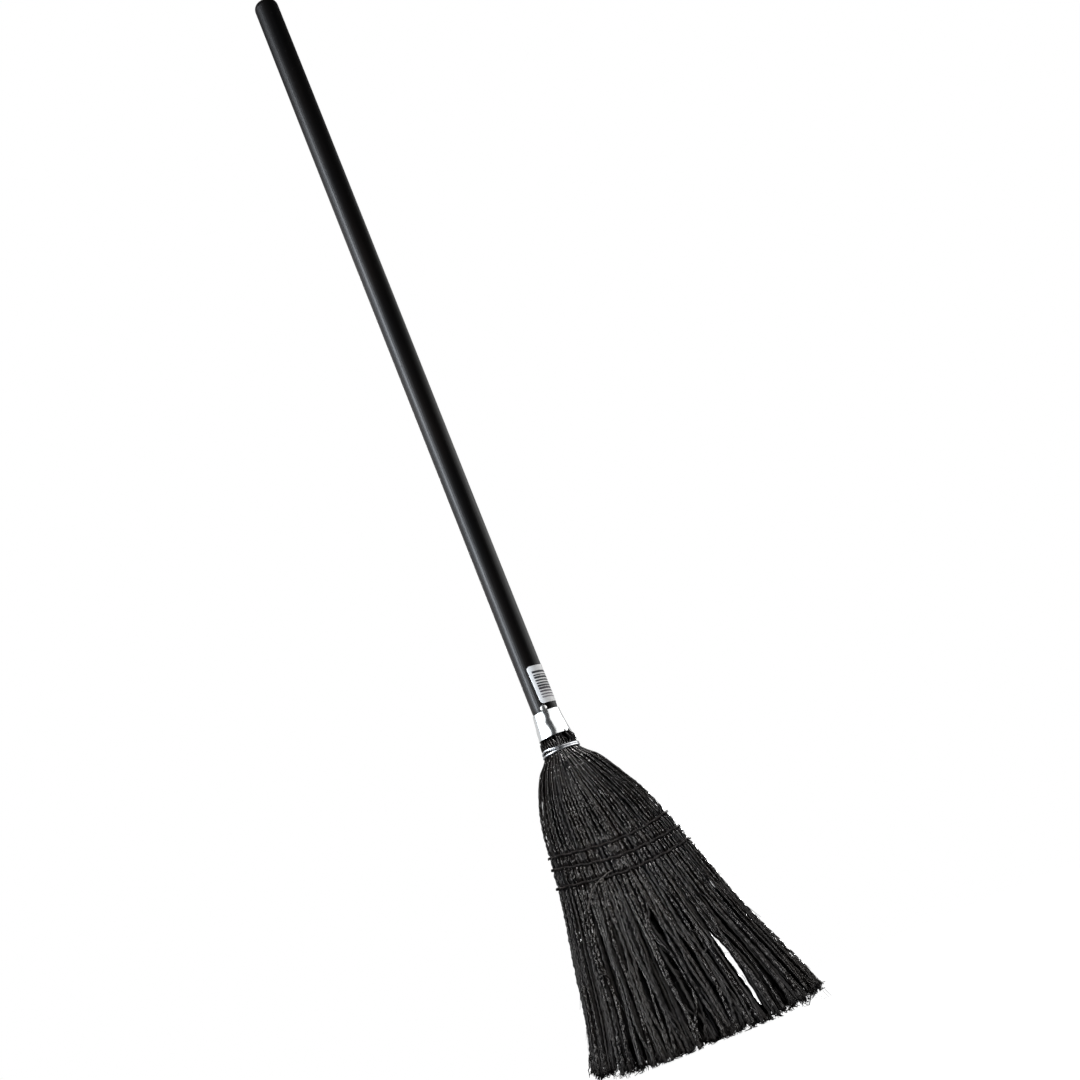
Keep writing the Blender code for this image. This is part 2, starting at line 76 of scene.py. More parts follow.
# Head outline, from the handle's axis: height, reach to -X, reach to +X, half depth, squareness
HEAD = np.array((
    (0.0000, 0.0690, 0.1186, 0.0250, 2.8),
    (0.0250, 0.0640, 0.1110, 0.0240, 2.8),
    (0.0458, 0.0590, 0.1025, 0.0230, 2.8),
    (0.0856, 0.0515, 0.0856, 0.0208, 2.8),
    (0.1324, 0.0432, 0.0697, 0.0182, 2.6),
    (0.1632, 0.0392, 0.0599, 0.0172, 2.6),
    (0.1920, 0.0360, 0.0490, 0.0180, 2.5),
    (0.2149, 0.0300, 0.0362, 0.0184, 2.3),
    (0.2308, 0.0228, 0.0258, 0.0174, 2.1),
    (0.2374, 0.0171, 0.0185, 0.0158, 2.0),
    (0.2430, 0.0137, 0.0143, 0.0139, 2.0),
    (0.2497, 0.0143, 0.0150, 0.0146, 2.0),
    (0.2547, 0.0137, 0.0138, 0.0137, 2.0),
))
STRAND_TOP = 0.2562
FERRULE_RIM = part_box("ferrule")[0].z
WIRE_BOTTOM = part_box("neck_wire")[0].z + 0.0010
WIRE_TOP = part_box("neck_wire")[1].z
WIRE_RADIUS = 0.00085
WIRE_PITCH = 0.00165
WIRE_TURNS = 2.1
WIRE_LIFT = 0.0019

# Strands: how many, the height at which they stand evenly apart, and the limits of their radius
STRANDS = 72
PITCH_HEIGHT = 0.163
SMALLEST_RADIUS = 0.00045
LARGEST_RADIUS = 0.00135
STRAND_SIDES = 9
LOBES = 3
EDGE_RISE_LEFT = 0.0095
EDGE_RISE_RIGHT = 0.0070
EDGE_FLAT = 0.30

# Grooves between the clumps of free bristles: place across the width from -1 to 1, and half width
FRONT_GROOVES = (
    (-0.86, 0.0008), (-0.62, 0.0016), (-0.48, 0.0008), (-0.33, 0.0009), (-0.18, 0.0015),
    (0.06, 0.0017), (0.21, 0.0007), (0.35, 0.0011), (0.68, 0.0015), (0.86, 0.0008),
)
REAR_GROOVES = (
    (-0.80, 0.0012), (-0.55, 0.0020), (-0.36, 0.0008), (-0.12, 0.0022), (0.09, 0.0010),
    (0.28, 0.0020), (0.66, 0.0016), (0.84, 0.0010),
)

# Heights between which a change sets in: downwards, and upwards for the last two
FREE_SPAN = (0.138, 0.060)
CLUMP_SPAN = (0.139, 0.060)
CUT_SPAN = (0.125, 0.0)
CRIMP_SPAN = (0.232, 0.190)
ROPE_SPAN = (0.225, 0.185)
SEWN_SPAN = (0.165, 0.180)
NECK_SPAN = (0.205, 0.236)

GROOVE_REACH = 0.011
GROOVE_WIDTH = 0.0034
GROOVE_DEPTH = 0.0036
SLIT_ANGLE = math.radians(67.7)
SLIT_PLACE = 0.5
NECK_SLANT = 0.30
CRIMP = 0.00026
THICKNESS = 0.35
SHOULDER_THINNING = 0.15
SHOULDER_SINK = 0.0030
FINE_STRANDS = 92
FINE_THICKNESS = 0.23
ROW_DIP = 0.0013
ROW_SPAN = 0.0022
# Height, and how far the dark heart lies inside the outline
HEART_INSET = np.array(((0.000, 0.0095), (0.115, 0.0088), (0.140, 0.0055), (0.255, 0.0038)))
# Slit: its middle from the handle's axis and the height, at both ends
SLIT_HEAD = (0.0540, 0.0703)
SLIT_FOOT = (0.0652, 0.0172)
# Height and half width of the slit
SLIT_OPENING = np.array((
    (-0.0300, 0.0000), (-0.0040, 0.0000), (0.0040, 0.0006), (0.0170, 0.0011), (0.0350, 0.0016),
    (0.0500, 0.0017), (0.0600, 0.0009), (0.0700, 0.0000),
))
SLIT_RISE = math.tan(math.radians(15.4))
SLIT_REACH = 0.016

# Stitching: height at the -X edge, in the middle and at the +X edge
STITCH_ROWS = {
    "stitch_row_upper": (0.1699, 0.1630, 0.1699),
    "stitch_row_middle": (0.1611, 0.1512, 0.1565),
    "stitch_row_lower": (0.1467, 0.1389, 0.1451),
}
ROW_CURVE_LEFT = 1.05
ROW_CURVE_RIGHT = 2.0


# ---------------------------------------------------------------- outline of the head

def smooth_rows(table, heights):
    """Rows of a table at many heights, on smooth curves through its rows."""
    known = table[:, 0]
    heights = np.clip(heights, known[0], known[-1])
    low = np.clip(np.searchsorted(known, heights, side="right") - 1, 0, len(known) - 2)
    last = len(known) - 1
    index = np.arange(len(known))
    before = np.maximum(index - 1, 0)
    after = np.minimum(index + 1, last)
    slopes = (table[after, 1:] - table[before, 1:]) / (known[after] - known[before])[:, None]
    span = (known[low + 1] - known[low])[:, None]
    part = (heights[:, None] - known[low][:, None]) / span
    start = table[low, 1:]
    end = table[low + 1, 1:]
    value = (2 * part**3 - 3 * part**2 + 1) * start + (3 * part**2 - 2 * part**3) * end
    value += (part**3 - 2 * part**2 + part) * slopes[low] * span
    value += (part**3 - part**2) * slopes[low + 1] * span
    return value


FINE_HEIGHTS = np.linspace(HEAD[0, 0], HEAD[-1, 0], 600)
FINE_ROWS = smooth_rows(HEAD, FINE_HEIGHTS)


def outline(heights):
    """Left reach, right reach, half depth and squareness at the heights."""
    return [np.interp(heights, FINE_HEIGHTS, FINE_ROWS[:, i]) for i in range(4)]


def surface(heights, turns, inset):
    """Points and outward normals on the head's side; turn 0 is +X and -90 degrees is the front."""
    left, right, depth, squareness = outline(heights)
    half = (left + right) / 2
    cosine = np.cos(turns)
    sine = np.sin(turns)
    along = np.sign(cosine) * np.abs(cosine) ** (2 / squareness)
    across = np.sign(sine) * np.abs(sine) ** (2 / squareness)
    slope_x = np.sign(along) * np.abs(along) ** (squareness - 1) / half
    slope_y = np.sign(across) * np.abs(across) ** (squareness - 1) / depth
    length = np.hypot(slope_x, slope_y)
    normal = np.stack([slope_x / length, slope_y / length, np.zeros_like(slope_x)], -1)
    x = AXIS_X + (right - left) / 2 + half * along
    y = depth * across
    point = np.stack([x, y, heights + np.zeros_like(x)], -1)
    return point - normal * np.asarray(inset)[..., None], normal


def even_turns(count, height, offset=0.0):
    """Turns that divide the outline at a height into equal lengths."""
    turns = np.linspace(-math.pi, math.pi, 4001)
    points, _ = surface(np.full_like(turns, height), turns, np.zeros_like(turns))
    run = np.concatenate([[0], np.cumsum(np.linalg.norm(np.diff(points, axis=0), axis=1))])
    return np.interp((np.arange(count) + offset) / count * run[-1], run, turns)


def step(value, low, high):
    """Smooth step from 0 at low to 1 at high."""
    part = np.clip((value - low) / (high - low), 0, 1)
    return part * part * (3 - 2 * part)


def fall(heights, start, full):
    """Smooth step from 0 at the height start to 1 at the lower height full."""
    return step(-heights, -start, -full)


def wander(rng, count, heights, wavelength, amount):
    """Slow random drift along the height, one row for each strand."""
    knots = int((heights.max() - heights.min()) / wavelength) + 3
    values = rng.normal(0, amount, (count, knots))
    place = (heights - heights.min()) / wavelength
    low = np.floor(place).astype(int)
    part = step(place - low, 0, 1)
    return values[:, low] * (1 - part) + values[:, low + 1] * part


def end_height(turns):
    """Height of the trimmed ends: a shallow arc that rises to both sides."""
    off = (np.abs(np.cos(turns)) - EDGE_FLAT) / (1 - EDGE_FLAT)
    rise = np.where(np.cos(turns) < 0, EDGE_RISE_LEFT, EDGE_RISE_RIGHT)
    return rise * np.maximum(off, 0) ** 1.5


def row_height(row, turns):
    """Height of a stitching row round the head; it sags in the middle of both faces."""
    at_left, at_middle, at_right = STITCH_ROWS[row]
    across = np.cos(turns)
    left = (at_left - at_middle) * np.abs(across) ** ROW_CURVE_LEFT
    right = (at_right - at_middle) * np.abs(across) ** ROW_CURVE_RIGHT
    return at_middle + np.where(across < 0, left, right)


# ---------------------------------------------------------------- meshes

def new_object(name, mesh, material, smooth=True):
    mesh.materials.append(material)
    if smooth:
        mesh.shade_smooth()
    made = bpy.data.objects.new(name, mesh)
    bpy.context.scene.collection.objects.link(made)
    return made


def mesh_from_arrays(name, points, quads, caps, attributes=None):
    """Mesh from point, quad and cap arrays; every cap has the same number of corners."""
    mesh = bpy.data.meshes.new(name)
    mesh.vertices.add(len(points))
    mesh.vertices.foreach_set("co", points.astype(np.float32).ravel())
    corners = np.concatenate([quads.ravel(), caps.ravel()]).astype(np.int32)
    quad_starts = np.arange(len(quads)) * 4
    cap_starts = quads.size + np.arange(len(caps)) * (caps.shape[1] if len(caps) else 0)
    mesh.loops.add(len(corners))
    mesh.loops.foreach_set("vertex_index", corners)
    mesh.polygons.add(len(quads) + len(caps))
    mesh.polygons.foreach_set("loop_start", np.concatenate([quad_starts, cap_starts]).astype(np.int32))
    mesh.update(calc_edges=True)
    for key, values in (attributes or {}).items():
        layer = mesh.attributes.new(key, "FLOAT", "POINT")
        layer.data.foreach_set("value", values.astype(np.float32))
    mesh.validate()
    return mesh


def ring_frames(paths, normals):
    """Side and lift directions across each path, with the lift as near the normals as it can be."""
    tangent = np.gradient(paths, axis=1)
    tangent /= np.linalg.norm(tangent, axis=-1, keepdims=True)
    lift = normals - tangent * (normals * tangent).sum(-1, keepdims=True)
    lift /= np.linalg.norm(lift, axis=-1, keepdims=True)
    return np.cross(tangent, lift), lift


def tube_parts(paths, normals, radii, sides, section=None, tint=None, deep=None):
    """Points, quads, caps and attributes of closed tubes along paths of shape (strand, ring, 3).

    section scales the radius round each ring, and tint and deep are read by the materials.
    """
    count, rings, _ = paths.shape
    side, lift = ring_frames(paths, normals)
    turns = np.arange(sides) * 2 * math.pi / sides
    scale = np.ones((count, rings, sides)) if section is None else section(turns)
    reach = radii[..., None] * scale
    points = paths[:, :, None, :] + side[:, :, None, :] * (reach * np.cos(turns))[..., None]
    points = points + lift[:, :, None, :] * (reach * np.sin(turns))[..., None]
    ring = np.arange(sides)
    following = (ring + 1) % sides
    base = (np.arange(count)[:, None, None] * rings + np.arange(rings - 1)[None, :, None]) * sides
    quads = np.stack([base + ring, base + sides + ring, base + sides + following, base + following], -1)
    first = np.arange(count)[:, None] * rings * sides + ring[None, :]
    last = first + (rings - 1) * sides
    caps = np.concatenate([first, last[:, ::-1]])
    shade = np.zeros(count) if tint is None else tint
    shadow = np.zeros((count, rings)) if deep is None else deep
    attributes = {"tint": np.repeat(shade, rings * sides), "deep": np.repeat(shadow.ravel(), sides)}
    return points.reshape(-1, 3), quads.reshape(-1, 4), caps, attributes


def tubes(name, material, *shape):
    """Object made of closed tubes, shaped as in tube_parts."""
    return new_object(name, mesh_from_arrays(name, *tube_parts(*shape)), material)


def join_tubes(name, material, parts):
    """One object from several results of tube_parts."""
    starts = np.cumsum([0] + [len(points) for points, _, _, _ in parts])
    points = np.concatenate([part[0] for part in parts])
    quads = np.concatenate([part[1] + start for part, start in zip(parts, starts)])
    caps = np.concatenate([part[2] + start for part, start in zip(parts, starts)])
    attributes = {key: np.concatenate([part[3][key] for part in parts]) for key in ("tint", "deep")}
    return new_object(name, mesh_from_arrays(name, points, quads, caps, attributes), material)


def grid_mesh(name, rings, closed=True, caps=True):
    """Mesh through rings of points of shape (ring, corner, 3), with flat caps at both ends."""
    count, corners, _ = rings.shape
    ring = np.arange(corners if closed else corners - 1)
    following = (ring + 1) % corners
    base = np.arange(count - 1)[:, None] * corners
    quads = np.stack([base + ring, base + following, base + corners + following, base + corners + ring], -1)
    ends = np.zeros((0, corners), int)
    if caps:
        ends = np.stack([np.arange(corners)[::-1], (count - 1) * corners + np.arange(corners)])
    return mesh_from_arrays(name, rings.reshape(-1, 3), quads.reshape(-1, 4), ends)


# ---------------------------------------------------------------- material nodes

class Graph:
    """Small helper for a node material."""

    def __init__(self, name):
        self.material = bpy.data.materials.new(name)
        self.material.use_nodes = True
        self.tree = self.material.node_tree
        self.shader = self.tree.nodes["Principled BSDF"]

    def node(self, kind, inputs=None, **settings):
        made = self.tree.nodes.new("ShaderNode" + kind)
        for key, value in settings.items():
            setattr(made, key, value)
        for key, value in (inputs or {}).items():
            if isinstance(value, bpy.types.NodeSocket):
                self.tree.links.new(value, made.inputs[key])
            else:
                made.inputs[key].default_value = value
        return made

    def math(self, operation, *values):
        return self.node("Math", dict(enumerate(values)), operation=operation).outputs[0]

    def product(self, *values):
        result = values[0]
        for value in values[1:]:
            result = self.math("MULTIPLY", result, value)
        return result

    def spread(self, value, low, high, to_low=0.0, to_high=1.0):
        inputs = {"Value": value, "From Min": low, "From Max": high, "To Min": to_low, "To Max": to_high}
        return self.node("MapRange", inputs).outputs["Result"]

    def place(self, scale=(1, 1, 1)):
        coordinates = self.node("TexCoord").outputs["Object"]
        return self.node("Mapping", {"Vector": coordinates, "Scale": scale}).outputs["Vector"]

    def axes(self):
        coordinates = self.node("TexCoord").outputs["Object"]
        return self.node("SeparateXYZ", {"Vector": coordinates}).outputs

    def noise(self, vector, scale, detail=3.0, roughness=0.55):
        inputs = {"Vector": vector, "Scale": scale, "Detail": detail, "Roughness": roughness}
        return self.node("TexNoise", inputs).outputs["Fac"]

    def mix(self, amount, low, high):
        made = self.node("Mix", data_type="RGBA")
        for key, value in (("Factor", amount), (6, low), (7, high)):
            if isinstance(value, bpy.types.NodeSocket):
                self.tree.links.new(value, made.inputs[key])
            else:
                made.inputs[key].default_value = value
        return made.outputs[2]

    def bump(self, height, strength, distance):
        inputs = {"Height": height, "Strength": strength, "Distance": distance}
        self.link(self.node("Bump", inputs).outputs["Normal"], "Normal")

    def link(self, value, socket):
        self.tree.links.new(value, self.shader.inputs[socket])

    def set(self, **values):
        for key, value in values.items():
            self.shader.inputs[key.replace("_", " ")].default_value = value
        return self.material


def colour(red, green, blue):
    return (red, green, blue, 1.0)


# Painted highlight: heights of a band just under the neck wire where light grey specks go into the fibre's
# colour as glints on the strands' bends
PAINTED_GLINT_FROM = (0.221, 0.232)
PAINTED_GLINT_TO = (0.242, 0.243)
PAINTED_GLINT_COLOUR = colour(0.60, 0.60, 0.60)


def fibre_material(name, dark, warm, cool, low_gloss, high_gloss, gleam):
    """Black crimped fibre: its colour and gloss vary by strand, with kinks and painted glints, which are
    light grey specks just under the neck wire.
    """
    graph = Graph(name)
    tint = graph.node("Attribute", attribute_name="tint").outputs["Fac"]
    patches = graph.noise(graph.place((1, 1, 0.35)), 70, 2.0)
    kinks = graph.noise(graph.place((1, 1, 0.45)), 1150, 3.0, 0.6)
    deep = graph.node("Attribute", attribute_name="deep").outputs["Fac"]
    painted_glints = graph.spread(graph.noise(graph.place(), 480, 2.0), 0.655, 0.670)
    height = graph.axes()["Z"]
    below_wire = graph.spread(height, *PAINTED_GLINT_FROM)
    under_wire = graph.spread(height, *PAINTED_GLINT_TO, 1.0, 0.0)
    shade = graph.mix(graph.spread(tint, 0.0, 1.0), dark, warm)
    shade = graph.mix(graph.spread(patches, 0.45, 0.75), shade, cool)
    # Painted glints: light grey specks mixed into the base colour in the band under the wire
    shade = graph.mix(graph.product(painted_glints, graph.product(below_wire, under_wire)), shade, PAINTED_GLINT_COLOUR)
    graph.link(shade, "Base Color")
    own = graph.math("FRACT", graph.product(tint, 7.0))
    uneven = graph.math("ADD", graph.product(patches, 0.6), graph.product(own, 0.4))
    gloss = graph.spread(uneven, 0.25, 0.70, low_gloss, high_gloss)
    graph.link(graph.math("ADD", gloss, graph.product(deep, 0.5)), "Roughness")
    graph.bump(kinks, 0.42, 0.0006)
    return graph.set(Specular_IOR_Level=gleam)


def lacquer_material():
    """Black lacquer over turned wood: faint grain, worn specks near the tip, thin scratches."""
    graph = Graph("black_lacquer")
    height = graph.axes()["Z"]
    grain = graph.noise(graph.place((1, 1, 0.03)), 900, 4.0)
    waves = graph.noise(graph.place((1, 1, 0.25)), 45, 2.0)
    specks = graph.noise(graph.place((1, 1, 0.5)), 620, 2.0, 0.7)
    scuffs = graph.noise(graph.place((1, 1, 0.06)), 160, 3.0)
    near_tip = graph.spread(height, handle_high.z - 0.17, handle_high.z - 0.02)
    worn = graph.product(graph.spread(specks, 0.70, 0.78), near_tip)
    rubbed = graph.product(graph.spread(scuffs, 0.66, 0.74), near_tip)
    wear = graph.math("MAXIMUM", worn, graph.product(rubbed, 0.35))
    cold = colour(0.0030, 0.0027, 0.0028)
    warm = colour(0.0062, 0.0045, 0.0038)
    black = graph.mix(graph.spread(waves, 0.35, 0.7), cold, warm)
    graph.link(graph.mix(wear, black, colour(0.11, 0.105, 0.10)), "Base Color")
    gloss = graph.spread(grain, 0.3, 0.7, 0.30, 0.40)
    graph.link(graph.math("ADD", gloss, graph.product(wear, 0.25)), "Roughness")
    graph.bump(graph.math("ADD", grain, graph.product(waves, 1.5)), 0.10, 0.0003)
    return graph.set(Specular_IOR_Level=0.26)


def tin_material():
    """Bright tin plate: soft smears, drawn lines round the sleeve and dull freckles."""
    graph = Graph("bright_tinplate")
    smear = graph.noise(graph.place((1, 1, 0.6)), 130, 3.0)
    lines = graph.noise(graph.place((0.15, 0.15, 1)), 1500, 2.0)
    freckles = graph.noise(graph.place(), 1500, 2.0, 0.6)
    shade = graph.mix(graph.spread(smear, 0.35, 0.75), colour(0.93, 0.94, 0.94), colour(0.80, 0.82, 0.82))
    graph.link(graph.mix(graph.spread(freckles, 0.68, 0.76), shade, colour(0.42, 0.43, 0.42)), "Base Color")
    graph.link(graph.spread(smear, 0.3, 0.7, 0.17, 0.26), "Roughness")
    graph.bump(lines, 0.08, 0.0001)
    return graph.set(Metallic=1.0)


def wire_material(name, shade, dull, low_gloss, high_gloss):
    """Drawn steel wire or nail steel, with a thin zinc bloom."""
    graph = Graph(name)
    bloom = graph.noise(graph.place(), 900, 3.0)
    graph.link(graph.mix(graph.spread(bloom, 0.5, 0.75), shade, dull), "Base Color")
    graph.link(graph.spread(bloom, 0.35, 0.7, low_gloss, high_gloss), "Roughness")
    graph.bump(bloom, 0.08, 0.0001)
    return graph.set(Metallic=1.0)


def twine_material(name, pale, gleam):
    """Spun twine: matte and fuzzy, with paler fine specks from a noise."""
    graph = Graph(name)
    fuzz = graph.noise(graph.place(), 2400, 3.0)
    patches = graph.noise(graph.place(), 60, 2.0)
    cold = colour(0.0040, 0.0040, 0.0042)
    warm = colour(0.0100, 0.0072, 0.0062)
    shade = graph.mix(graph.spread(patches, 0.4, 0.7), cold, warm)
    graph.link(graph.mix(graph.spread(fuzz, 0.45, 0.75), shade, pale), "Base Color")
    graph.link(graph.spread(fuzz, 0.3, 0.7, 0.40, 0.62), "Roughness")
    graph.bump(fuzz, 0.5, 0.0002)
    return graph.set(Specular_IOR_Level=gleam)


LABEL_START = math.radians(-5.0)
LABEL_WIDTH = 0.025
LABEL_RADIUS = 0.0105
LABEL_CORNER = 0.0027
LABEL_TILT = math.radians(2.0)
LABEL_MARGIN = 0.0028
LABEL_BAR_PITCH = 0.0023
LABEL_END_MARGIN = 0.0042
BAR_WIDTHS = (0.44, 0.90)
PRINT_EDGE = 0.0002


def label_material():
    """White sticker paper with generic grey bars across it, paler towards the bottom."""
    graph = Graph("label_paper")
    low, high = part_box("sticker")
    axes = graph.axes()
    lean = math.tan(LABEL_TILT)
    forward = graph.product(axes["Y"], -1.0)
    across = graph.math("ARCTAN2", graph.math("SUBTRACT", axes["X"], AXIS_X), forward)
    run = graph.product(across, LABEL_RADIUS)
    climb = graph.math("ADD", axes["Z"], graph.product(run, lean))
    steps = graph.product(climb, 1 / LABEL_BAR_PITCH)
    cell = graph.math("FLOOR", steps)
    chance = graph.node("TexWhiteNoise", {"W": cell}, noise_dimensions="1D").outputs["Value"]
    width = graph.spread(chance, 0.0, 1.0, *BAR_WIDTHS)
    bars = graph.spread(graph.math("SUBTRACT", width, graph.math("FRACT", steps)), 0.0, 0.05)
    bottom = low.z + LABEL_END_MARGIN
    top = high.z - LABEL_END_MARGIN
    drift = graph.math("ADD", run, graph.product(axes["Z"], lean))
    left = LABEL_START * LABEL_RADIUS + LABEL_MARGIN + (low.z + high.z) / 2 * lean
    right = left + LABEL_WIDTH - 2 * LABEL_MARGIN
    inside = graph.product(
        graph.spread(climb, bottom - PRINT_EDGE, bottom),
        graph.spread(climb, top - PRINT_EDGE, top, 1.0, 0.0),
        graph.spread(drift, left, left + PRINT_EDGE),
        graph.spread(drift, right, right + PRINT_EDGE, 1.0, 0.0),
    )
    faded = graph.spread(climb, low.z + 0.004, low.z + 0.010, 0.70, 1.0)
    ink = graph.product(bars, inside, faded)
    grain = graph.noise(graph.place(), 1800, 3.0)
    paper = graph.mix(grain, colour(0.84, 0.84, 0.83), colour(0.90, 0.90, 0.90))
    faint = colour(0.11, 0.08, 0.11)
    solid = colour(0.020, 0.020, 0.026)
    print_colour = graph.mix(graph.spread(climb, low.z + 0.004, low.z + 0.015), faint, solid)
    graph.link(graph.mix(ink, paper, print_colour), "Base Color")
    graph.link(graph.spread(grain, 0.3, 0.7, 0.42, 0.58), "Roughness")
    graph.bump(grain, 0.08, 0.0001)
    return graph.set(IOR=1.45)


# ---------------------------------------------------------------- fill

STRAND_HEIGHTS = np.concatenate([
    np.arange(STRAND_TOP, 0.2410, -0.0008),
    np.arange(0.2410, 0.2100, -0.0006),
    np.linspace(0.2100, 0.0, 211),
])


def squeeze(off, opening, reach):
    """New distance from the middle of a gap that opens, for what lay at the distance off."""
    return opening + np.maximum(off, 0) * (1 - opening / reach) + np.minimum(off, 0) * 0.1


def part_clumps(points, normals, turns, grooves, facing):
    """Opens the grooves between clumps on the front (facing -1) or the rear (facing +1)."""
    left, right, _, squareness = outline(points[..., 2])
    half = (left + right) / 2
    down = fall(points[..., 2], *CLUMP_SPAN)
    cosine = np.cos(turns)[:, None]
    home = np.sign(cosine) * np.abs(cosine) ** (2 / squareness)
    here = (np.sign(np.sin(turns)) == facing)[:, None]
    for place, width in grooves:
        middle = AXIS_X + (right - left) / 2 + half * place
        side = np.where(home > place, 1.0, -1.0)
        off = side * (points[..., 0] - middle)
        opening = width * down
        near = here & (off < GROOVE_REACH)
        moved = middle + side * squeeze(off, opening, GROOVE_REACH)
        points[..., 0] = np.where(near, moved, points[..., 0])
        sink = GROOVE_DEPTH * down * min(width / 0.002, 1.3) * np.exp(-((off / GROOVE_WIDTH) ** 2))
        points -= normals * np.where(near, sink, 0)[..., None]
    return points


def slit_line(points):
    """Middle and half width of the slit, which runs back along the line of sight of the front."""
    depth = outline(points[..., 2])[2]
    seen = points[..., 2] - (points[..., 1] + depth) * SLIT_RISE
    part = (seen - SLIT_FOOT[1]) / (SLIT_HEAD[1] - SLIT_FOOT[1])
    middle = SLIT_FOOT[0] + (SLIT_HEAD[0] - SLIT_FOOT[0]) * part
    half = np.interp(seen, SLIT_OPENING[:, 0], SLIT_OPENING[:, 1])
    return AXIS_X + middle, half


def slit_push(points, side, clearance):
    """Moves points sideways out of the slit; side is +1 for what lies to its right."""
    middle, half = slit_line(points)
    opening = np.where(half > 0, half + clearance, 0)
    opening = opening * step(half, 0.0, 0.0006)
    off = side * (points[..., 0] - middle)
    moved = middle + side * squeeze(off, opening, SLIT_REACH)
    points[..., 0] = np.where((off < SLIT_REACH) & (opening > 0), moved, points[..., 0])
    return points


def slit_side(turns):
    """+1 for turns to the right of the slit, -1 for those to its left."""
    return np.where(np.cos(turns) > math.cos(SLIT_ANGLE), 1.0, -1.0)


def row_dip(grid, turns):
    """How far the stitching pulls the strands in."""
    dip = np.zeros_like(grid)
    for row in STITCH_ROWS:
        dip += ROW_DIP * np.exp(-(((grid - row_height(row, turns)) / ROW_SPAN) ** 2))
    return dip


def ragged_ends(rng, turns):
    """End heights: clumps of a few strands were cut together, and a few strands hang lower."""
    count = len(turns)
    clump = np.cumsum(rng.random(count) < 0.24)
    level = rng.uniform(0.0008, 0.0040, clump[-1] + 1)[clump]
    own = np.abs(rng.normal(0, 0.0007, count))
    hanging = rng.random(count) < 0.10
    trimmed = np.where(hanging, rng.uniform(0.0003, 0.0008, count), level + own)
    return end_height(turns) * np.where(hanging, 0.8, 1.0) + trimmed


def strand_layer(seed, offset, depth_below, lift, sunk_share, strands=STRANDS, thickness=THICKNESS,
                 drift=1.0):
    """Paths, normals and radii of one ring of strands, each cut at its own length.

    depth_below is how far the ring lies under the surface, lift is how much deeper most strands lie
    at the neck, and sunk_share of them drop into the valleys between the clumps.
    """
    rng = np.random.default_rng(seed)
    heights = STRAND_HEIGHTS
    turns = even_turns(strands, PITCH_HEIGHT, offset)
    count = len(turns)
    spacing = 2 * math.pi / count
    free = fall(heights, *FREE_SPAN)[None, :]
    neck = step(heights, *NECK_SPAN)[None, :]
    sewn = step(heights, *SEWN_SPAN)[None, :]
    loose = wander(rng, count, heights, 0.030, 0.10 * drift * spacing)
    loose = loose + wander(rng, count, heights, 0.050, 0.26 * drift * spacing) * free
    slant = NECK_SLANT * step(heights, WIRE_TOP, FERRULE_RIM)
    moved = turns[:, None] + loose - slant
    grid = np.broadcast_to(heights, moved.shape)
    flat, _ = surface(grid, moved, np.zeros_like(moved))
    beside, _ = surface(grid, moved + spacing, np.zeros_like(moved))
    pitch = np.linalg.norm(beside - flat, axis=-1)
    size = rng.uniform(0.74, 1.20, count)[:, None]
    proud = ((np.arange(count) % 2 == 0) & (strands == STRANDS) & (lift > 0))[:, None]
    radii = np.clip(thickness * pitch * size, SMALLEST_RADIUS, LARGEST_RADIUS)
    radii = radii * np.where(proud, 1 + 0.50 * neck, 1.0)
    radii = radii * (1 - SHOULDER_THINNING * sewn * (1 - neck))
    sunk = rng.random(count) < sunk_share
    valley = np.where(sunk, rng.uniform(0.0022, 0.0050, count), rng.uniform(0, 0.0010, count))
    valley = valley[:, None] * free
    uneven = np.abs(wander(rng, count, heights, 0.045, 0.0006)) * (0.55 + 0.6 * free)
    tuck = 0.0022 * step(heights, FERRULE_RIM - 0.0028, STRAND_TOP)[None, :]
    hidden = SHOULDER_SINK * sewn * (strands != STRANDS)
    below = depth_below + lift * neck * ~proud + hidden * (1 - neck)
    inset = radii * 0.8 + below + valley + uneven + tuck + row_dip(grid, moved)
    points, normals = surface(grid, moved, inset)
    wave = rng.uniform(0.0050, 0.0072, count)[:, None]
    phase = rng.uniform(0, 2 * math.pi, count)[:, None]
    beat = 2 * math.pi * grid / wave + phase + wander(rng, count, heights, 0.012, 0.5)
    crimped = fall(grid, *CRIMP_SPAN)
    sway = CRIMP * crimped
    tangent = np.stack([-normals[..., 1], normals[..., 0], np.zeros_like(sway)], -1)
    points = points + tangent * (np.sin(beat) * sway)[..., None]
    points = points + normals * (np.cos(beat) * sway * 0.8)[..., None]
    radii = radii * (1 + 0.10 * np.cos(beat * 2) * crimped)
    points = part_clumps(points, normals, turns, FRONT_GROOVES, -1)
    points = part_clumps(points, normals, turns, REAR_GROOVES, 1)
    points = slit_push(points, slit_side(turns)[:, None], radii * 0.9 + 0.0003)
    ends = ragged_ends(rng, turns)
    deep = np.clip((below + valley + uneven - 0.0004) / 0.0022, 0, 1)
    points, normals, radii, deep = cut_to_length(points, normals, radii, deep, ends)
    return {
        "turns": turns, "points": points, "normals": normals, "radii": radii, "deep": deep,
        "ends": ends,
        "twist": rng.uniform(0.012, 0.018, count) * np.where(rng.random(count) < 0.85, 1, -1),
        "phase": rng.uniform(0, 2 * math.pi, count), "tint": rng.random(count),
    }


def cut_to_length(points, normals, radii, deep, ends):
    """The same strands with their rings closed up so that each one stops at its own end height."""
    heights = points[0, :, 2]
    low = heights[None, :] + ends[:, None] * fall(heights, *CUT_SPAN)[None, :]
    index = np.interp(low.ravel(), heights[::-1], np.arange(len(heights))[::-1]).reshape(low.shape)
    before = np.clip(np.floor(index).astype(int), 0, len(heights) - 2)
    part = index - before
    row = np.arange(len(points))[:, None]
    cut = []
    for values in (points, normals, radii, deep):
        share = part[..., None] if values.ndim == 3 else part
        cut.append(values[row, before] * (1 - share) + values[row, before + 1] * share)
    return cut


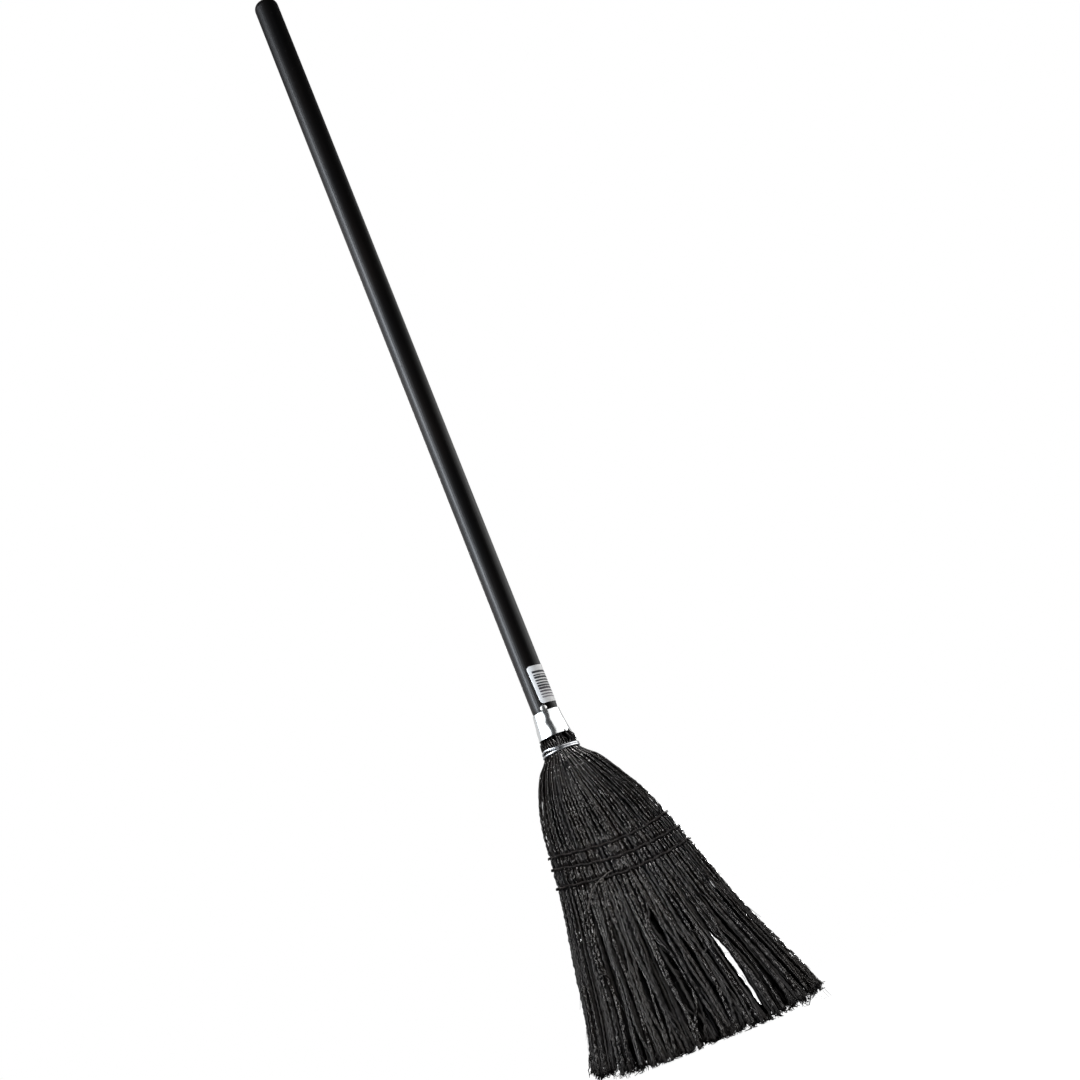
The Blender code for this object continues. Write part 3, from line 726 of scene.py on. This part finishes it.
def rope_section(along, twist_length, phase):
    """Lobed, twisted section of a strand, which gives its beads; it is smoother near the neck."""
    def section(turns):
        twist = 2 * math.pi * along / twist_length[:, None] + phase[:, None]
        depth = 0.06 + 0.18 * fall(along, *ROPE_SPAN)
        lobes = np.cos(LOBES * turns[None, None, :] + twist[..., None])
        return 1 + depth[..., None] * lobes
    return section


def layer_piece(name, layer, chosen, sides, material, every=1):
    """One piece of the strands of a layer."""
    points = layer["points"][chosen][:, ::every]
    normals = layer["normals"][chosen][:, ::every]
    along = points[..., 2]
    ends = layer["ends"][chosen][:, None]
    radii = layer["radii"][chosen][:, ::every] * (1 - 0.30 * fall(along, ends + 0.008, ends))
    section = rope_section(along, layer["twist"][chosen], layer["phase"][chosen])
    deep = layer["deep"][chosen][:, ::every]
    return tubes(name, material, points, normals, radii, sides, section, layer["tint"][chosen], deep)


def sampled(rows, place):
    """Rows of three values read at fractional places."""
    return np.stack([np.interp(place, np.arange(len(rows)), rows[:, axis]) for axis in range(3)], -1)


def frayed_tips(name, layers, front, each, seed, material):
    """Split ends: filaments that leave every strand over its last stretch and splay out."""
    rng = np.random.default_rng(seed)
    rings = 11
    index = np.linspace(0, 1, rings)
    points = []
    normals = []
    for layer in layers:
        chosen = np.where((layer["turns"] < 0) == front)[0]
        for strand in np.repeat(chosen, each):
            path = layer["points"][strand]
            end = path[-1, 2]
            top = end + rng.uniform(0.004, 0.020)
            reach = min(max(rng.normal(0.0008, 0.0014), -0.003), end - 0.0003)
            want = top + (end - top) * index
            place = np.interp(-want, -path[:, 2], np.arange(len(path)))
            base = sampled(path, place)
            base[:, 2] -= index**2 * reach
            outward = layer["normals"][strand][-1, :2] * rng.uniform(0, 0.0016)
            spread = rng.normal(0, 0.0012, 2) + outward
            loose = rng.normal(0, 0.00035, (rings, 2)) * index[:, None]
            shift = rng.normal(0, 0.0006, 2)
            base[:, :2] += spread * (index**1.4)[:, None] + shift + loose
            base[:, 2] = np.maximum(base[:, 2], 0.0002)
            points.append(base)
            normals.append(sampled(layer["normals"][strand], place))
    points = np.stack(points)
    count = len(points)
    radii = rng.uniform(0.00018, 0.00060, count)[:, None] * (1.0 - 0.6 * index[None, :] ** 2)
    deep = np.broadcast_to(step(index, 0.2, 0.7) * 0.8, (count, rings))
    return tubes(name, material, points, np.stack(normals), radii, 4, None, rng.random(count), deep)


def build_inner(name, material, seed=31):
    """Strands inside the head, which fill the space between the outer layers at the ends."""
    rng = np.random.default_rng(seed)
    pitch = 0.0031
    columns, rows = np.meshgrid(np.arange(-32, 33), np.arange(-8, 9))
    x = (columns + 0.5 * (rows % 2)) * pitch
    y = rows * pitch * 0.87
    left, right, depth, squareness = [value[0] for value in outline(np.zeros(1))]
    half = (left + right) / 2
    along = x / half
    across = y / depth
    inside = np.abs(along) ** squareness + np.abs(across) ** squareness < 0.42
    along = along[inside] + rng.normal(0, 0.005, inside.sum())
    across = across[inside] + rng.normal(0, 0.015, inside.sum())
    count = len(along)
    rings = 14
    index = np.linspace(0, 1, rings)[None, :]
    turn_like = np.arccos(np.clip(along, -1, 1))
    ends = end_height(turn_like) + rng.uniform(0.0012, 0.0068, count)
    tops = rng.uniform(0.018, 0.044, count)[:, None]
    heights = tops * (1 - index) + ends[:, None] * index
    left, right, depth, _ = outline(heights)
    half = (left + right) / 2
    sway = np.sin(heights / 0.0065 * 2 * math.pi + rng.uniform(0, 6.28, count)[:, None]) * 0.0003
    lean = rng.normal(0, 0.0012, (count, 2))
    x = AXIS_X + (right - left) / 2 + half * along[:, None] + sway + lean[:, :1] * index
    y = depth * across[:, None] + lean[:, 1:] * index
    points = np.stack([x, y, heights], -1)
    taper = (1 - 0.35 * index**3) * (0.15 + 0.85 * step(index, 0, 0.4))
    radii = rng.uniform(0.0008, 0.0014, count)[:, None] * taper
    side = np.where(along > SLIT_PLACE, 1.0, -1.0)[:, None]
    points = slit_push(points, side, radii + 0.0004)
    normals = np.broadcast_to(np.array([0.0, -1.0, 0.0]), points.shape)
    return tubes(name, material, points, normals, radii, 5, None, rng.random(count))


def core_ring(height, shrink, corners=26):
    """Closed ring across the fill, shrunk from its outline."""
    left, right, depth, squareness = [value[0] for value in outline(np.array([height]))]
    half = (left + right) / 2 - shrink
    place = np.cos(np.linspace(math.pi, 0, corners)) * 0.985
    x = AXIS_X + (right - left) / 2 + half * place
    y = (depth - shrink) * (1 - np.abs(place) ** squareness) ** (1 / squareness)
    front = np.stack([x, -y, np.full(corners, height)], -1)
    rear = np.stack([x, y, np.full(corners, height)], -1)[::-1]
    return np.concatenate([front, rear])


def build_core(name, heights, material, side=0):
    """Heart of the fill, a closed solid made dark by the painted-shade fibre copy it is given; side picks
    the half to the left (-1) or right (+1) of the slit.
    """
    rings = []
    for height in heights:
        shrink = float(np.interp(height, HEART_INSET[:, 0], HEART_INSET[:, 1]))
        ring = core_ring(height, shrink)
        if side:
            middle, half = slit_line(ring)
            wall = middle + side * (half + 0.0026)
            ring[:, 0] = np.maximum(ring[:, 0], wall) if side > 0 else np.minimum(ring[:, 0], wall)
        rings.append(ring)
    return new_object(name, grid_mesh(name, np.stack(rings)), material)


def build_cores(material):
    upper = build_core("fill_heart_upper", np.linspace(0.2525, 0.0875, 40), material)
    heights = np.linspace(0.0872, 0.022, 14)
    left = build_core("fill_heart_left", heights, material, -1)
    right = build_core("fill_heart_right", heights, material, 1)
    return upper, left, right


def build_curls(name, layers, seed, material):
    """Short bent scraps of fibre between the cut ends."""
    rng = np.random.default_rng(seed)
    rings = 10
    index = np.linspace(0, 1, rings)[:, None]
    points = []
    for layer in layers:
        for strand in np.repeat(np.arange(len(layer["ends"])), 3):
            start = layer["points"][strand][-1] + [0, 0, rng.uniform(0.0, 0.0035)]
            outward = layer["normals"][strand][-1]
            along = np.array([-outward[1], outward[0], 0.0])
            heading = rng.normal(0, 1.0) * along + rng.uniform(-0.2, 0.9) * outward
            heading = heading + [0, 0, rng.normal(-0.2, 0.5)]
            bend = rng.normal(0, 1.0) * along + rng.normal(0, 0.4) * outward
            bend = bend + [0, 0, rng.uniform(-1.4, -0.2)]
            length = rng.uniform(0.0015, 0.0048)
            path = start + heading * index * length * 0.7 + bend * index**2 * length * 0.6
            path[:, 2] = np.maximum(path[:, 2], 0.0005)
            points.append(path)
    points = np.stack(points)
    count = len(points)
    radii = rng.uniform(0.00024, 0.00055, count)[:, None] * (1 - 0.4 * index[:, 0][None, :] ** 2)
    normals = np.broadcast_to(np.array([0.1, -0.7, 0.7]), points.shape)
    return tubes(name, material, points, normals, radii, 5, None, rng.random(count))


def build_hairs(name, seed, material):
    """Loose single hairs that stand off the lower fill."""
    rng = np.random.default_rng(seed)
    count = 150
    rings = 16
    even = even_turns(2000, 0.05)
    turns = even[rng.integers(0, len(even), count)]
    start = rng.uniform(0.004, 0.120, count)
    length = rng.uniform(0.010, 0.032, count)
    index = np.linspace(0, 1, rings)[None, :]
    fallen = length[:, None] * index * rng.uniform(0.3, 1.0, count)[:, None]
    heights = np.maximum(start[:, None] - fallen, 0.0006)
    swing = turns[:, None] + rng.normal(0, 0.06, count)[:, None] * index
    swing = swing + rng.normal(0, 0.05, count)[:, None] * index**2
    off = 0.0008 - rng.uniform(0.0006, 0.0026, count)[:, None] * index**1.4
    points, normals = surface(heights, swing, off)
    radii = rng.uniform(0.00010, 0.00018, count)[:, None] * (1.1 - 0.6 * index)
    return tubes(name, material, points, normals, radii, 4, None, rng.random(count))


# ---------------------------------------------------------------- stitching

def twisted(path, normals, ply_radius, orbit, pitch, closed=True):
    """Twine of two twisted plies along one path."""
    run = np.concatenate([[0], np.cumsum(np.linalg.norm(np.diff(path, axis=0), axis=1))])
    twists = run[-1] / pitch
    if closed:
        twists = max(round(twists), 1)
    side, lift = ring_frames(path[None], normals[None])
    paths = []
    for phase in (0.0, 0.5):
        angle = 2 * math.pi * (run / run[-1] * twists + phase)
        sideways = side[0] * (np.cos(angle) * orbit)[:, None]
        paths.append(path + sideways + lift[0] * (np.sin(angle) * orbit)[:, None])
    paths = np.stack(paths)
    radii = np.full(paths.shape[:2], ply_radius)
    return tube_parts(paths, np.stack([normals] * 2), radii, 6, None, np.array((0.0, 0.5)))


def row_path(row, count, phase, stitch_pitch=0.0062):
    """Path of one twine of a stitching row: it weaves up and down and dips in at every stitch."""
    fine = even_turns(count, STITCH_ROWS[row][1], 0.0)
    turns = np.append(fine, fine[0] + 2 * math.pi)
    heights = row_height(row, turns)
    points, _ = surface(heights, turns, np.zeros_like(turns))
    run = np.concatenate([[0], np.cumsum(np.linalg.norm(np.diff(points, axis=0), axis=1))])
    stitches = round(run[-1] / stitch_pitch)
    beat = 2 * math.pi * stitches * run / run[-1] + phase
    heights = heights + 0.00036 * np.sin(beat / 2 + phase)
    inset = -0.0001 + 0.0009 * (0.5 + 0.5 * np.cos(beat)) ** 2
    inset = inset - 0.0007 * np.exp(-((np.sin(turns) / 0.16) ** 2))
    points, normals = surface(heights, turns, inset)
    return points, normals


def build_row(row, material):
    """A stitching row: two twisted twines that cross at the stitches."""
    parts = []
    for phase in (0.0, math.pi):
        path, normals = row_path(row, 620, phase)
        parts.append(twisted(path, normals, 0.00033, 0.00032, 0.0026))
    return join_tubes(row + "_twine", material, parts)


# ---------------------------------------------------------------- neck wire, ferrule, sticker

def build_neck_wire(material):
    """Two tight turns and a bit; the upper one lifts off the lower at the left front."""
    steps = 420
    turn = np.linspace(0, 2 * math.pi * WIRE_TURNS, steps)
    place = turn + math.pi / 2
    around = np.mod(place, 2 * math.pi)
    height = WIRE_BOTTOM + WIRE_RADIUS + WIRE_PITCH * turn / (2 * math.pi)
    front_left = np.exp(-(((around - math.radians(222)) / math.radians(40)) ** 2))
    height = height + WIRE_LIFT * front_left * step(turn / (2 * math.pi), 0.9, 1.2)
    left, right, depth, _ = outline(height)
    across = np.cos(place)
    reach = np.where(across > 0, right, left) * across**2 + depth * np.sin(place) ** 2 + WIRE_RADIUS * 0.65
    path = np.stack([AXIS_X + reach * across, reach * np.sin(place), height], -1)[None]
    normals = np.stack([across, np.sin(place), np.zeros_like(place)], -1)[None]
    radii = np.full((1, steps), WIRE_RADIUS)
    return tubes("neck_wire_winding", material, path, normals, radii, 14)


# Down the sleeve from 0 at its upper rim to 1 at its lower rim, and the outer radius
FERRULE_PROFILE = (
    (0.00, 0.01068), (0.012, 0.01090), (0.03, 0.01100), (0.06, 0.01094), (0.10, 0.01095),
    (0.20, 0.01112), (0.40, 0.01160), (0.60, 0.01212), (0.80, 0.01266), (0.92, 0.01302),
    (0.95, 0.01318), (0.98, 0.01330), (1.00, 0.01322),
)

FERRULE_WALL = 0.00042
DENTS = 46
DENT_DEPTH = 0.00016


def build_ferrule(material):
    """Tapered sleeve with rolled rims, hand-worked dents and a thin wall."""
    low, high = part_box("ferrule")
    around = 160
    down = np.linspace(0, 1, 64)
    known = np.array(FERRULE_PROFILE)
    outer = np.interp(down, known[:, 0], known[:, 1])
    turn = np.arange(around) * 2 * math.pi / around
    rng = np.random.default_rng(5)
    dents = np.zeros((len(down), around))
    body = np.sin(math.pi * down)[:, None] ** 0.6
    for _ in range(DENTS):
        centre_turn = rng.uniform(0, 2 * math.pi)
        centre_down = rng.uniform(0.1, 0.95)
        wide = rng.uniform(0.14, 0.42)
        tall = rng.uniform(0.06, 0.20)
        gap = np.angle(np.exp(1j * (turn[None, :] - centre_turn)))
        away = (down[:, None] - centre_down) / tall
        dents += rng.normal(0, DENT_DEPTH) * np.exp(-((gap / wide) ** 2) - away**2)
    reach = outer[:, None] + dents * body
    heights = high.z + (low.z - high.z) * down
    radii = np.concatenate([reach, reach[::-1] - FERRULE_WALL])
    levels = np.concatenate([heights, heights[::-1]])[:, None] + np.zeros(around)
    points = np.stack([AXIS_X + radii * np.cos(turn), radii * np.sin(turn), levels], -1)
    count = len(points)
    corner = np.arange(around)
    following = (corner + 1) % around
    base = np.arange(count)[:, None] * around
    after = ((np.arange(count) + 1) % count)[:, None] * around
    quads = np.stack([base + corner, after + corner, after + following, base + following], -1)
    no_caps = np.zeros((0, 4), int)
    mesh = mesh_from_arrays("ferrule_sleeve", points.reshape(-1, 3), quads.reshape(-1, 4), no_caps)
    return new_object("ferrule_sleeve", mesh, material)


def build_label(material):
    """Sticker bent round the handle, with rounded corners and a lifted right edge."""
    low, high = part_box("sticker")
    middle = (low.z + high.z) / 2
    columns = 60
    corner = np.linspace(0, math.pi / 2, 9)
    drop = LABEL_CORNER * (1 - np.sin(corner))
    straight = np.linspace(low.z + LABEL_CORNER, high.z - LABEL_CORNER, 12)[1:-1]
    levels = np.unique(np.round(np.concatenate([low.z + drop[::-1], straight, high.z - drop]), 7))
    rings = []
    for height in levels:
        edge = max(LABEL_CORNER - min(height - low.z, high.z - height), 0)
        side_cut = LABEL_CORNER - math.sqrt(max(LABEL_CORNER**2 - edge**2, 0))
        lean = -(height - middle) * math.tan(LABEL_TILT)
        left = LABEL_START * LABEL_RADIUS + side_cut
        right = LABEL_START * LABEL_RADIUS + LABEL_WIDTH - side_cut
        turn = (np.linspace(left, right, columns) + lean) / LABEL_RADIUS
        lifted = 0.00025 * step(turn, turn[-1] - 0.25, turn[-1])
        ring = []
        for radius, order in ((LABEL_RADIUS + 0.00012, 1), (LABEL_RADIUS + 0.00002, -1)):
            reach = radius + lifted
            level = np.full(columns, height)
            row = np.stack([AXIS_X + reach * np.sin(turn), -reach * np.cos(turn), level], -1)
            ring.append(row[::order])
        rings.append(np.concatenate(ring))
    return new_object("sticker_sheet", grid_mesh("sticker_sheet", np.stack(rings)), material)


def build_knot(material):
    """Knot in the lowest row, with its loose end lying down to the left."""
    route = np.array((
        (0.0040, 0.1428), (-0.0005, 0.1424), (-0.0050, 0.1408), (-0.0095, 0.1390), (-0.0135, 0.1366),
        (-0.0170, 0.1336), (-0.0200, 0.1300), (-0.0222, 0.1262), (-0.0234, 0.1225),
    ))
    fine = np.linspace(0, len(route) - 1, 90)
    x = np.interp(fine, np.arange(len(route)), route[:, 0])
    z = np.interp(fine, np.arange(len(route)), route[:, 1])
    soft = np.ones(9) / 9
    x = np.convolve(np.pad(x, 4, mode="edge"), soft, "valid")
    z = np.convolve(np.pad(z, 4, mode="edge"), soft, "valid")
    depth = outline(z)[2]
    y = -(depth + 0.0014)
    path = np.stack([AXIS_X + x, y, z], -1)
    normals = np.broadcast_to(np.array([0.0, -1.0, 0.0]), path.shape)
    tail = twisted(path, normals, 0.00034, 0.00026, 0.0030, closed=False)
    turn = np.linspace(0, 2 * math.pi * 1.9, 70)
    knot_depth = outline(np.array([0.1385]))[2][0] + 0.0014
    climb = np.sin(turn) * 0.0011 + turn * 0.00006
    loop = np.stack([np.cos(turn) * 0.0013, -0.0006 * np.sin(turn * 0.5 + 1), climb], -1)
    knot_path = np.array([AXIS_X - 0.0068, -knot_depth, 0.1384]) + loop
    knot_normals = np.stack([np.cos(turn), np.zeros_like(turn) - 0.2, np.sin(turn)], -1)
    knot = twisted(knot_path, knot_normals, 0.00042, 0.00032, 0.0032, closed=False)
    return join_tubes("twine_loose_end", material, [tail, knot])


# ---------------------------------------------------------------- assembly

SIDE_REACH = math.radians(22)


def tufts(side, numbers):
    return ["bristle_tuft_{}_{:02d}".format(side, number) for number in numbers]


def dress_fill(looks):
    """Strands of the head and of the free bristles."""
    fibre = looks["fibre"]
    # deep holds the darker fibre copy, which paints shade on the fibre inside the head and between the cut
    # ends
    deep = looks["shaded_fibre"]
    outer = strand_layer(11, 0.0, 0.0, 0.0022, 0.26)
    under = strand_layer(12, 0.5, 0.0030, 0.0, 0.30)
    fine = strand_layer(14, 0.3, 0.0002, 0.0022, 0.30, FINE_STRANDS, FINE_THICKNESS, 2.4)
    pieces = []
    away = np.abs(outer["turns"])
    at_right = away <= SIDE_REACH
    at_left = away >= math.pi - SIDE_REACH
    between = ~at_right & ~at_left
    quarters = (
        ("fill_front", between & (outer["turns"] < 0), ["cover_front"] + tufts("front", range(1, 13))),
        ("fill_rear", between & (outer["turns"] > 0), ["cover_rear"] + tufts("rear", range(1, 13))),
        ("fill_right", at_right, ["shoulder_right"]),
        ("fill_left", at_left, ["shoulder_left"]),
    )
    for name, keep, stands_for in quarters:
        piece = layer_piece(name, outer, keep, STRAND_SIDES, fibre)
        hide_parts(*stands_for)
        pieces.append(piece)
    pieces.append(layer_piece("fill_under_front", under, under["turns"] < 0, 7, fibre, 2))
    pieces.append(layer_piece("fill_under_rear", under, under["turns"] >= 0, 7, fibre, 2))
    pieces.append(layer_piece("fill_fine_front", fine, fine["turns"] < 0, 6, fibre, 2))
    pieces.append(layer_piece("fill_fine_rear", fine, fine["turns"] >= 0, 6, fibre, 2))
    pieces.append(build_inner("fill_inner", deep))
    pieces.append(frayed_tips("fill_tips_front", (outer, under), True, 10, 21, fibre))
    pieces.append(frayed_tips("fill_tips_rear", (outer, under), False, 10, 22, fibre))
    pieces.append(build_curls("fill_curls", (outer, under, fine), 24, deep))
    pieces.append(build_hairs("fill_loose_hairs", 23, fibre))
    pieces += build_cores(deep)
    for piece in pieces:
        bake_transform(piece)
    return pieces


def fit(piece, node):
    """Puts a piece on the head in place of a CAD node."""
    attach(piece, HEAD_BODY)
    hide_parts(node)
    return piece


def dress_trim(looks):
    """Stitching, neck wire, ferrule and sticker; returns the twines, the metals and the sticker."""
    twines = [fit(build_row(row, looks["twine"]), row) for row in STITCH_ROWS]
    knot = build_knot(looks["pale_twine"])
    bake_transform(knot)
    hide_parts("twine_end")
    wire = fit(build_neck_wire(looks["zinc"]), "neck_wire")
    ferrule = fit(build_ferrule(looks["tin"]), "ferrule")
    label = fit(build_label(looks["label"]), "sticker")
    return twines + [knot], [wire, ferrule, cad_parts["ferrule_nail"]], label


def dress_frame(looks):
    """Better materials on the CAD nodes that stay."""
    kept = {
        "handle": "lacquer",
        "ferrule_nail": "steel",
        "wire_anchor_nail": "steel",
        "inner_binding_wire": "zinc",
        # The core bundle takes the darker fibre copy, painted shade
        "core_bundle": "shaded_fibre",
    }
    for node, look in kept.items():
        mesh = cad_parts[node].data
        mesh.materials.clear()
        mesh.materials.append(looks[look])


# ---------------------------------------------------------------- studio

VIEW_TILT = math.radians(-15.4)
VIEW_ROLL = math.radians(22.15)
VIEW_DISTANCE = 1.425
VIEW_AIM = Vector((AXIS_X + 0.0463, 0.0, 0.4060))
LENS = 59.7
SENSOR = 36.0


def make_camera():
    data = bpy.data.cameras.new("studio_camera")
    data.sensor_width = SENSOR
    data.lens = LENS
    data.clip_end = 50
    camera = bpy.data.objects.new("studio_camera", data)
    bpy.context.scene.collection.objects.link(camera)
    back = Vector((0.0, -math.cos(VIEW_TILT), math.sin(VIEW_TILT)))
    camera.location = VIEW_AIM + back * VIEW_DISTANCE
    level = (-back).to_track_quat("-Z", "Y")
    camera.rotation_mode = "QUATERNION"
    camera.rotation_quaternion = level @ Euler((0, 0, -VIEW_ROLL)).to_quaternion()
    bpy.context.scene.camera = camera


def area_light(name, azimuth, rise, distance, size, glow, tint, only):
    """Softbox that faces the head and lights the objects in only, or everything if it is None.

    Azimuth 0 is the front, and a positive one turns to +X.
    """
    turn = math.radians(azimuth)
    lift = math.radians(rise)
    toward = Vector((math.sin(turn) * math.cos(lift), -math.cos(turn) * math.cos(lift), math.sin(lift)))
    data = bpy.data.lights.new(name, "AREA")
    data.shape = "RECTANGLE"
    data.size, data.size_y = size
    data.energy = glow * math.pi * size[0] * size[1]
    data.color = tint
    light = bpy.data.objects.new(name, data)
    bpy.context.scene.collection.objects.link(light)
    light.location = STUDIO_CENTRE + toward * distance
    light.rotation_mode = "QUATERNION"
    light.rotation_quaternion = toward.to_track_quat("Z", "Y")
    light.visible_camera = False
    if only:
        lit = bpy.data.collections.new(name + "_lit")
        for made in only:
            lit.objects.link(made)
        light.light_linking.receiver_collection = lit


def floor_material():
    """Pale floor, which glows to the camera so that it meets the white surroundings evenly."""
    graph = Graph("studio_floor")
    soft = graph.noise(graph.place(), 3, 2.0)
    graph.link(graph.mix(soft, colour(0.80, 0.80, 0.80), colour(0.78, 0.78, 0.78)), "Base Color")
    seen = graph.node("LightPath").outputs["Is Camera Ray"]
    graph.shader.inputs["Emission Color"].default_value = colour(1, 1, 1)
    graph.link(graph.math("MULTIPLY", seen, FLOOR_GLOW), "Emission Strength")
    return graph.set(Roughness=0.9)


STUDIO_CENTRE = Vector((0.0, 0.0, 0.30))
FLOOR_SIDE = 12
FLOOR_GLOW = 0.98
WORLD_GLOW = 0.05
WHITE = (1.0, 1.0, 1.0)

# Name, azimuth and rise in degrees, distance, width and height, glow, tint, what it reaches
LIGHTS = (
    ("left_strip", -64, 12, 1.6, (0.55, 1.9), 16.5, (0.86, 0.92, 1.0), "smooth"),
    ("left_wall", -68, 16, 2.0, (3.6, 2.4), 1.35, (0.90, 0.95, 1.0), "smooth"),
    ("right_wall", 104, 8, 0.9, (1.0, 0.9), 1.4, WHITE, "smooth"),
    ("fill_left", -42, -2, 1.5, (0.24, 0.55), 44.0, (0.98, 0.97, 0.97), "dark"),
    ("fill_right", 44, -2, 1.5, (0.18, 0.55), 40.0, (1.0, 0.96, 0.93), "dark"),
    ("key", 14, 46, 1.7, (0.35, 0.35), 90.0, (1.0, 0.96, 0.93), "dark"),
    ("metal_left", -62, 14, 1.0, (1.5, 1.3), 0.85, (0.97, 1.0, 0.99), "bright"),
    ("metal_right", 60, 14, 1.0, (1.5, 1.3), 1.15, WHITE, "bright"),
    ("paper_light", 62, 12, 1.0, (0.9, 0.9), 1.5, WHITE, "paper"),
    ("back_key", 172, 44, 1.7, (0.4, 0.4), 80.0, WHITE, "dark"),
    ("back_low", 160, -2, 1.5, (0.3, 0.55), 60.0, WHITE, "dark"),
    ("back_strip", -172, 10, 1.6, (0.3, 1.6), 8.0, WHITE, "handle"),
    ("back_left", -140, 18, 2.0, (1.6, 1.6), 0.6, WHITE, "all"),
    ("back_right", 135, 18, 2.0, (1.6, 1.6), 0.6, WHITE, "all"),
)


def make_studio(dark, bright, paper):
    """Surroundings and lights; most lights reach only some of the pieces."""
    bpy.context.scene.view_settings.view_transform = "Standard"
    world = bpy.data.worlds.new("studio_world")
    bpy.context.scene.world = world
    world.use_nodes = True
    tree = world.node_tree
    shown = tree.nodes["Background"]
    shown.inputs["Color"].default_value = colour(1, 1, 1)
    shown.inputs["Strength"].default_value = 1.0
    glow = tree.nodes.new("ShaderNodeBackground")
    glow.inputs["Color"].default_value = colour(0.93, 0.96, 1.0)
    glow.inputs["Strength"].default_value = WORLD_GLOW
    rays = tree.nodes.new("ShaderNodeLightPath")
    mix = tree.nodes.new("ShaderNodeMixShader")
    tree.links.new(rays.outputs["Is Camera Ray"], mix.inputs[0])
    tree.links.new(glow.outputs[0], mix.inputs[1])
    tree.links.new(shown.outputs[0], mix.inputs[2])
    tree.links.new(mix.outputs[0], tree.nodes["World Output"].inputs["Surface"])

    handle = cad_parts["handle"]
    reached = {
        "dark": dark, "bright": bright, "paper": [paper], "handle": [paper, handle],
        "smooth": bright + [paper, handle], "all": None,
    }
    for *setting, group in LIGHTS:
        area_light(*setting, reached[group])

    bpy.ops.mesh.primitive_plane_add(size=FLOOR_SIDE, location=(0, 0, cad_low.z - 0.0005))
    floor = bpy.context.active_object
    floor.name = "studio_floor"
    floor.data.materials.append(floor_material())


looks = {
    "fibre": fibre_material(
        "black_fibre", dark=colour(0.0030, 0.0030, 0.0032), warm=colour(0.0062, 0.0050, 0.0044),
        cool=colour(0.0050, 0.0052, 0.0064), low_gloss=0.08, high_gloss=0.30, gleam=0.36),
    # Painted shade: a darker, duller copy of the fibre for the inner strands, the heart, the curls and the
    # core bundle
    "shaded_fibre": fibre_material(
        "black_fibre_painted_shade", dark=colour(0.002, 0.002, 0.002), warm=colour(0.0035, 0.003, 0.003),
        cool=colour(0.003, 0.003, 0.004), low_gloss=0.70, high_gloss=0.85, gleam=0.05),
    "lacquer": lacquer_material(),
    "tin": tin_material(),
    "zinc": wire_material("zinc_wire", colour(0.82, 0.83, 0.85), colour(0.60, 0.62, 0.65), 0.18, 0.32),
    "steel": wire_material("nail_steel", colour(0.80, 0.80, 0.79), colour(0.55, 0.55, 0.54), 0.16, 0.34),
    "twine": twine_material("black_twine", colour(0.020, 0.017, 0.017), 0.30),
    # Knot and loose end: a paler, glossier twine than the rows
    "pale_twine": twine_material("pale_twine", colour(0.17, 0.16, 0.15), 0.5),
    "label": label_material(),
}
make_camera()
dress_frame(looks)
fill = dress_fill(looks)
twines, metals, sticker = dress_trim(looks)
make_studio(fill + twines, metals, sticker)
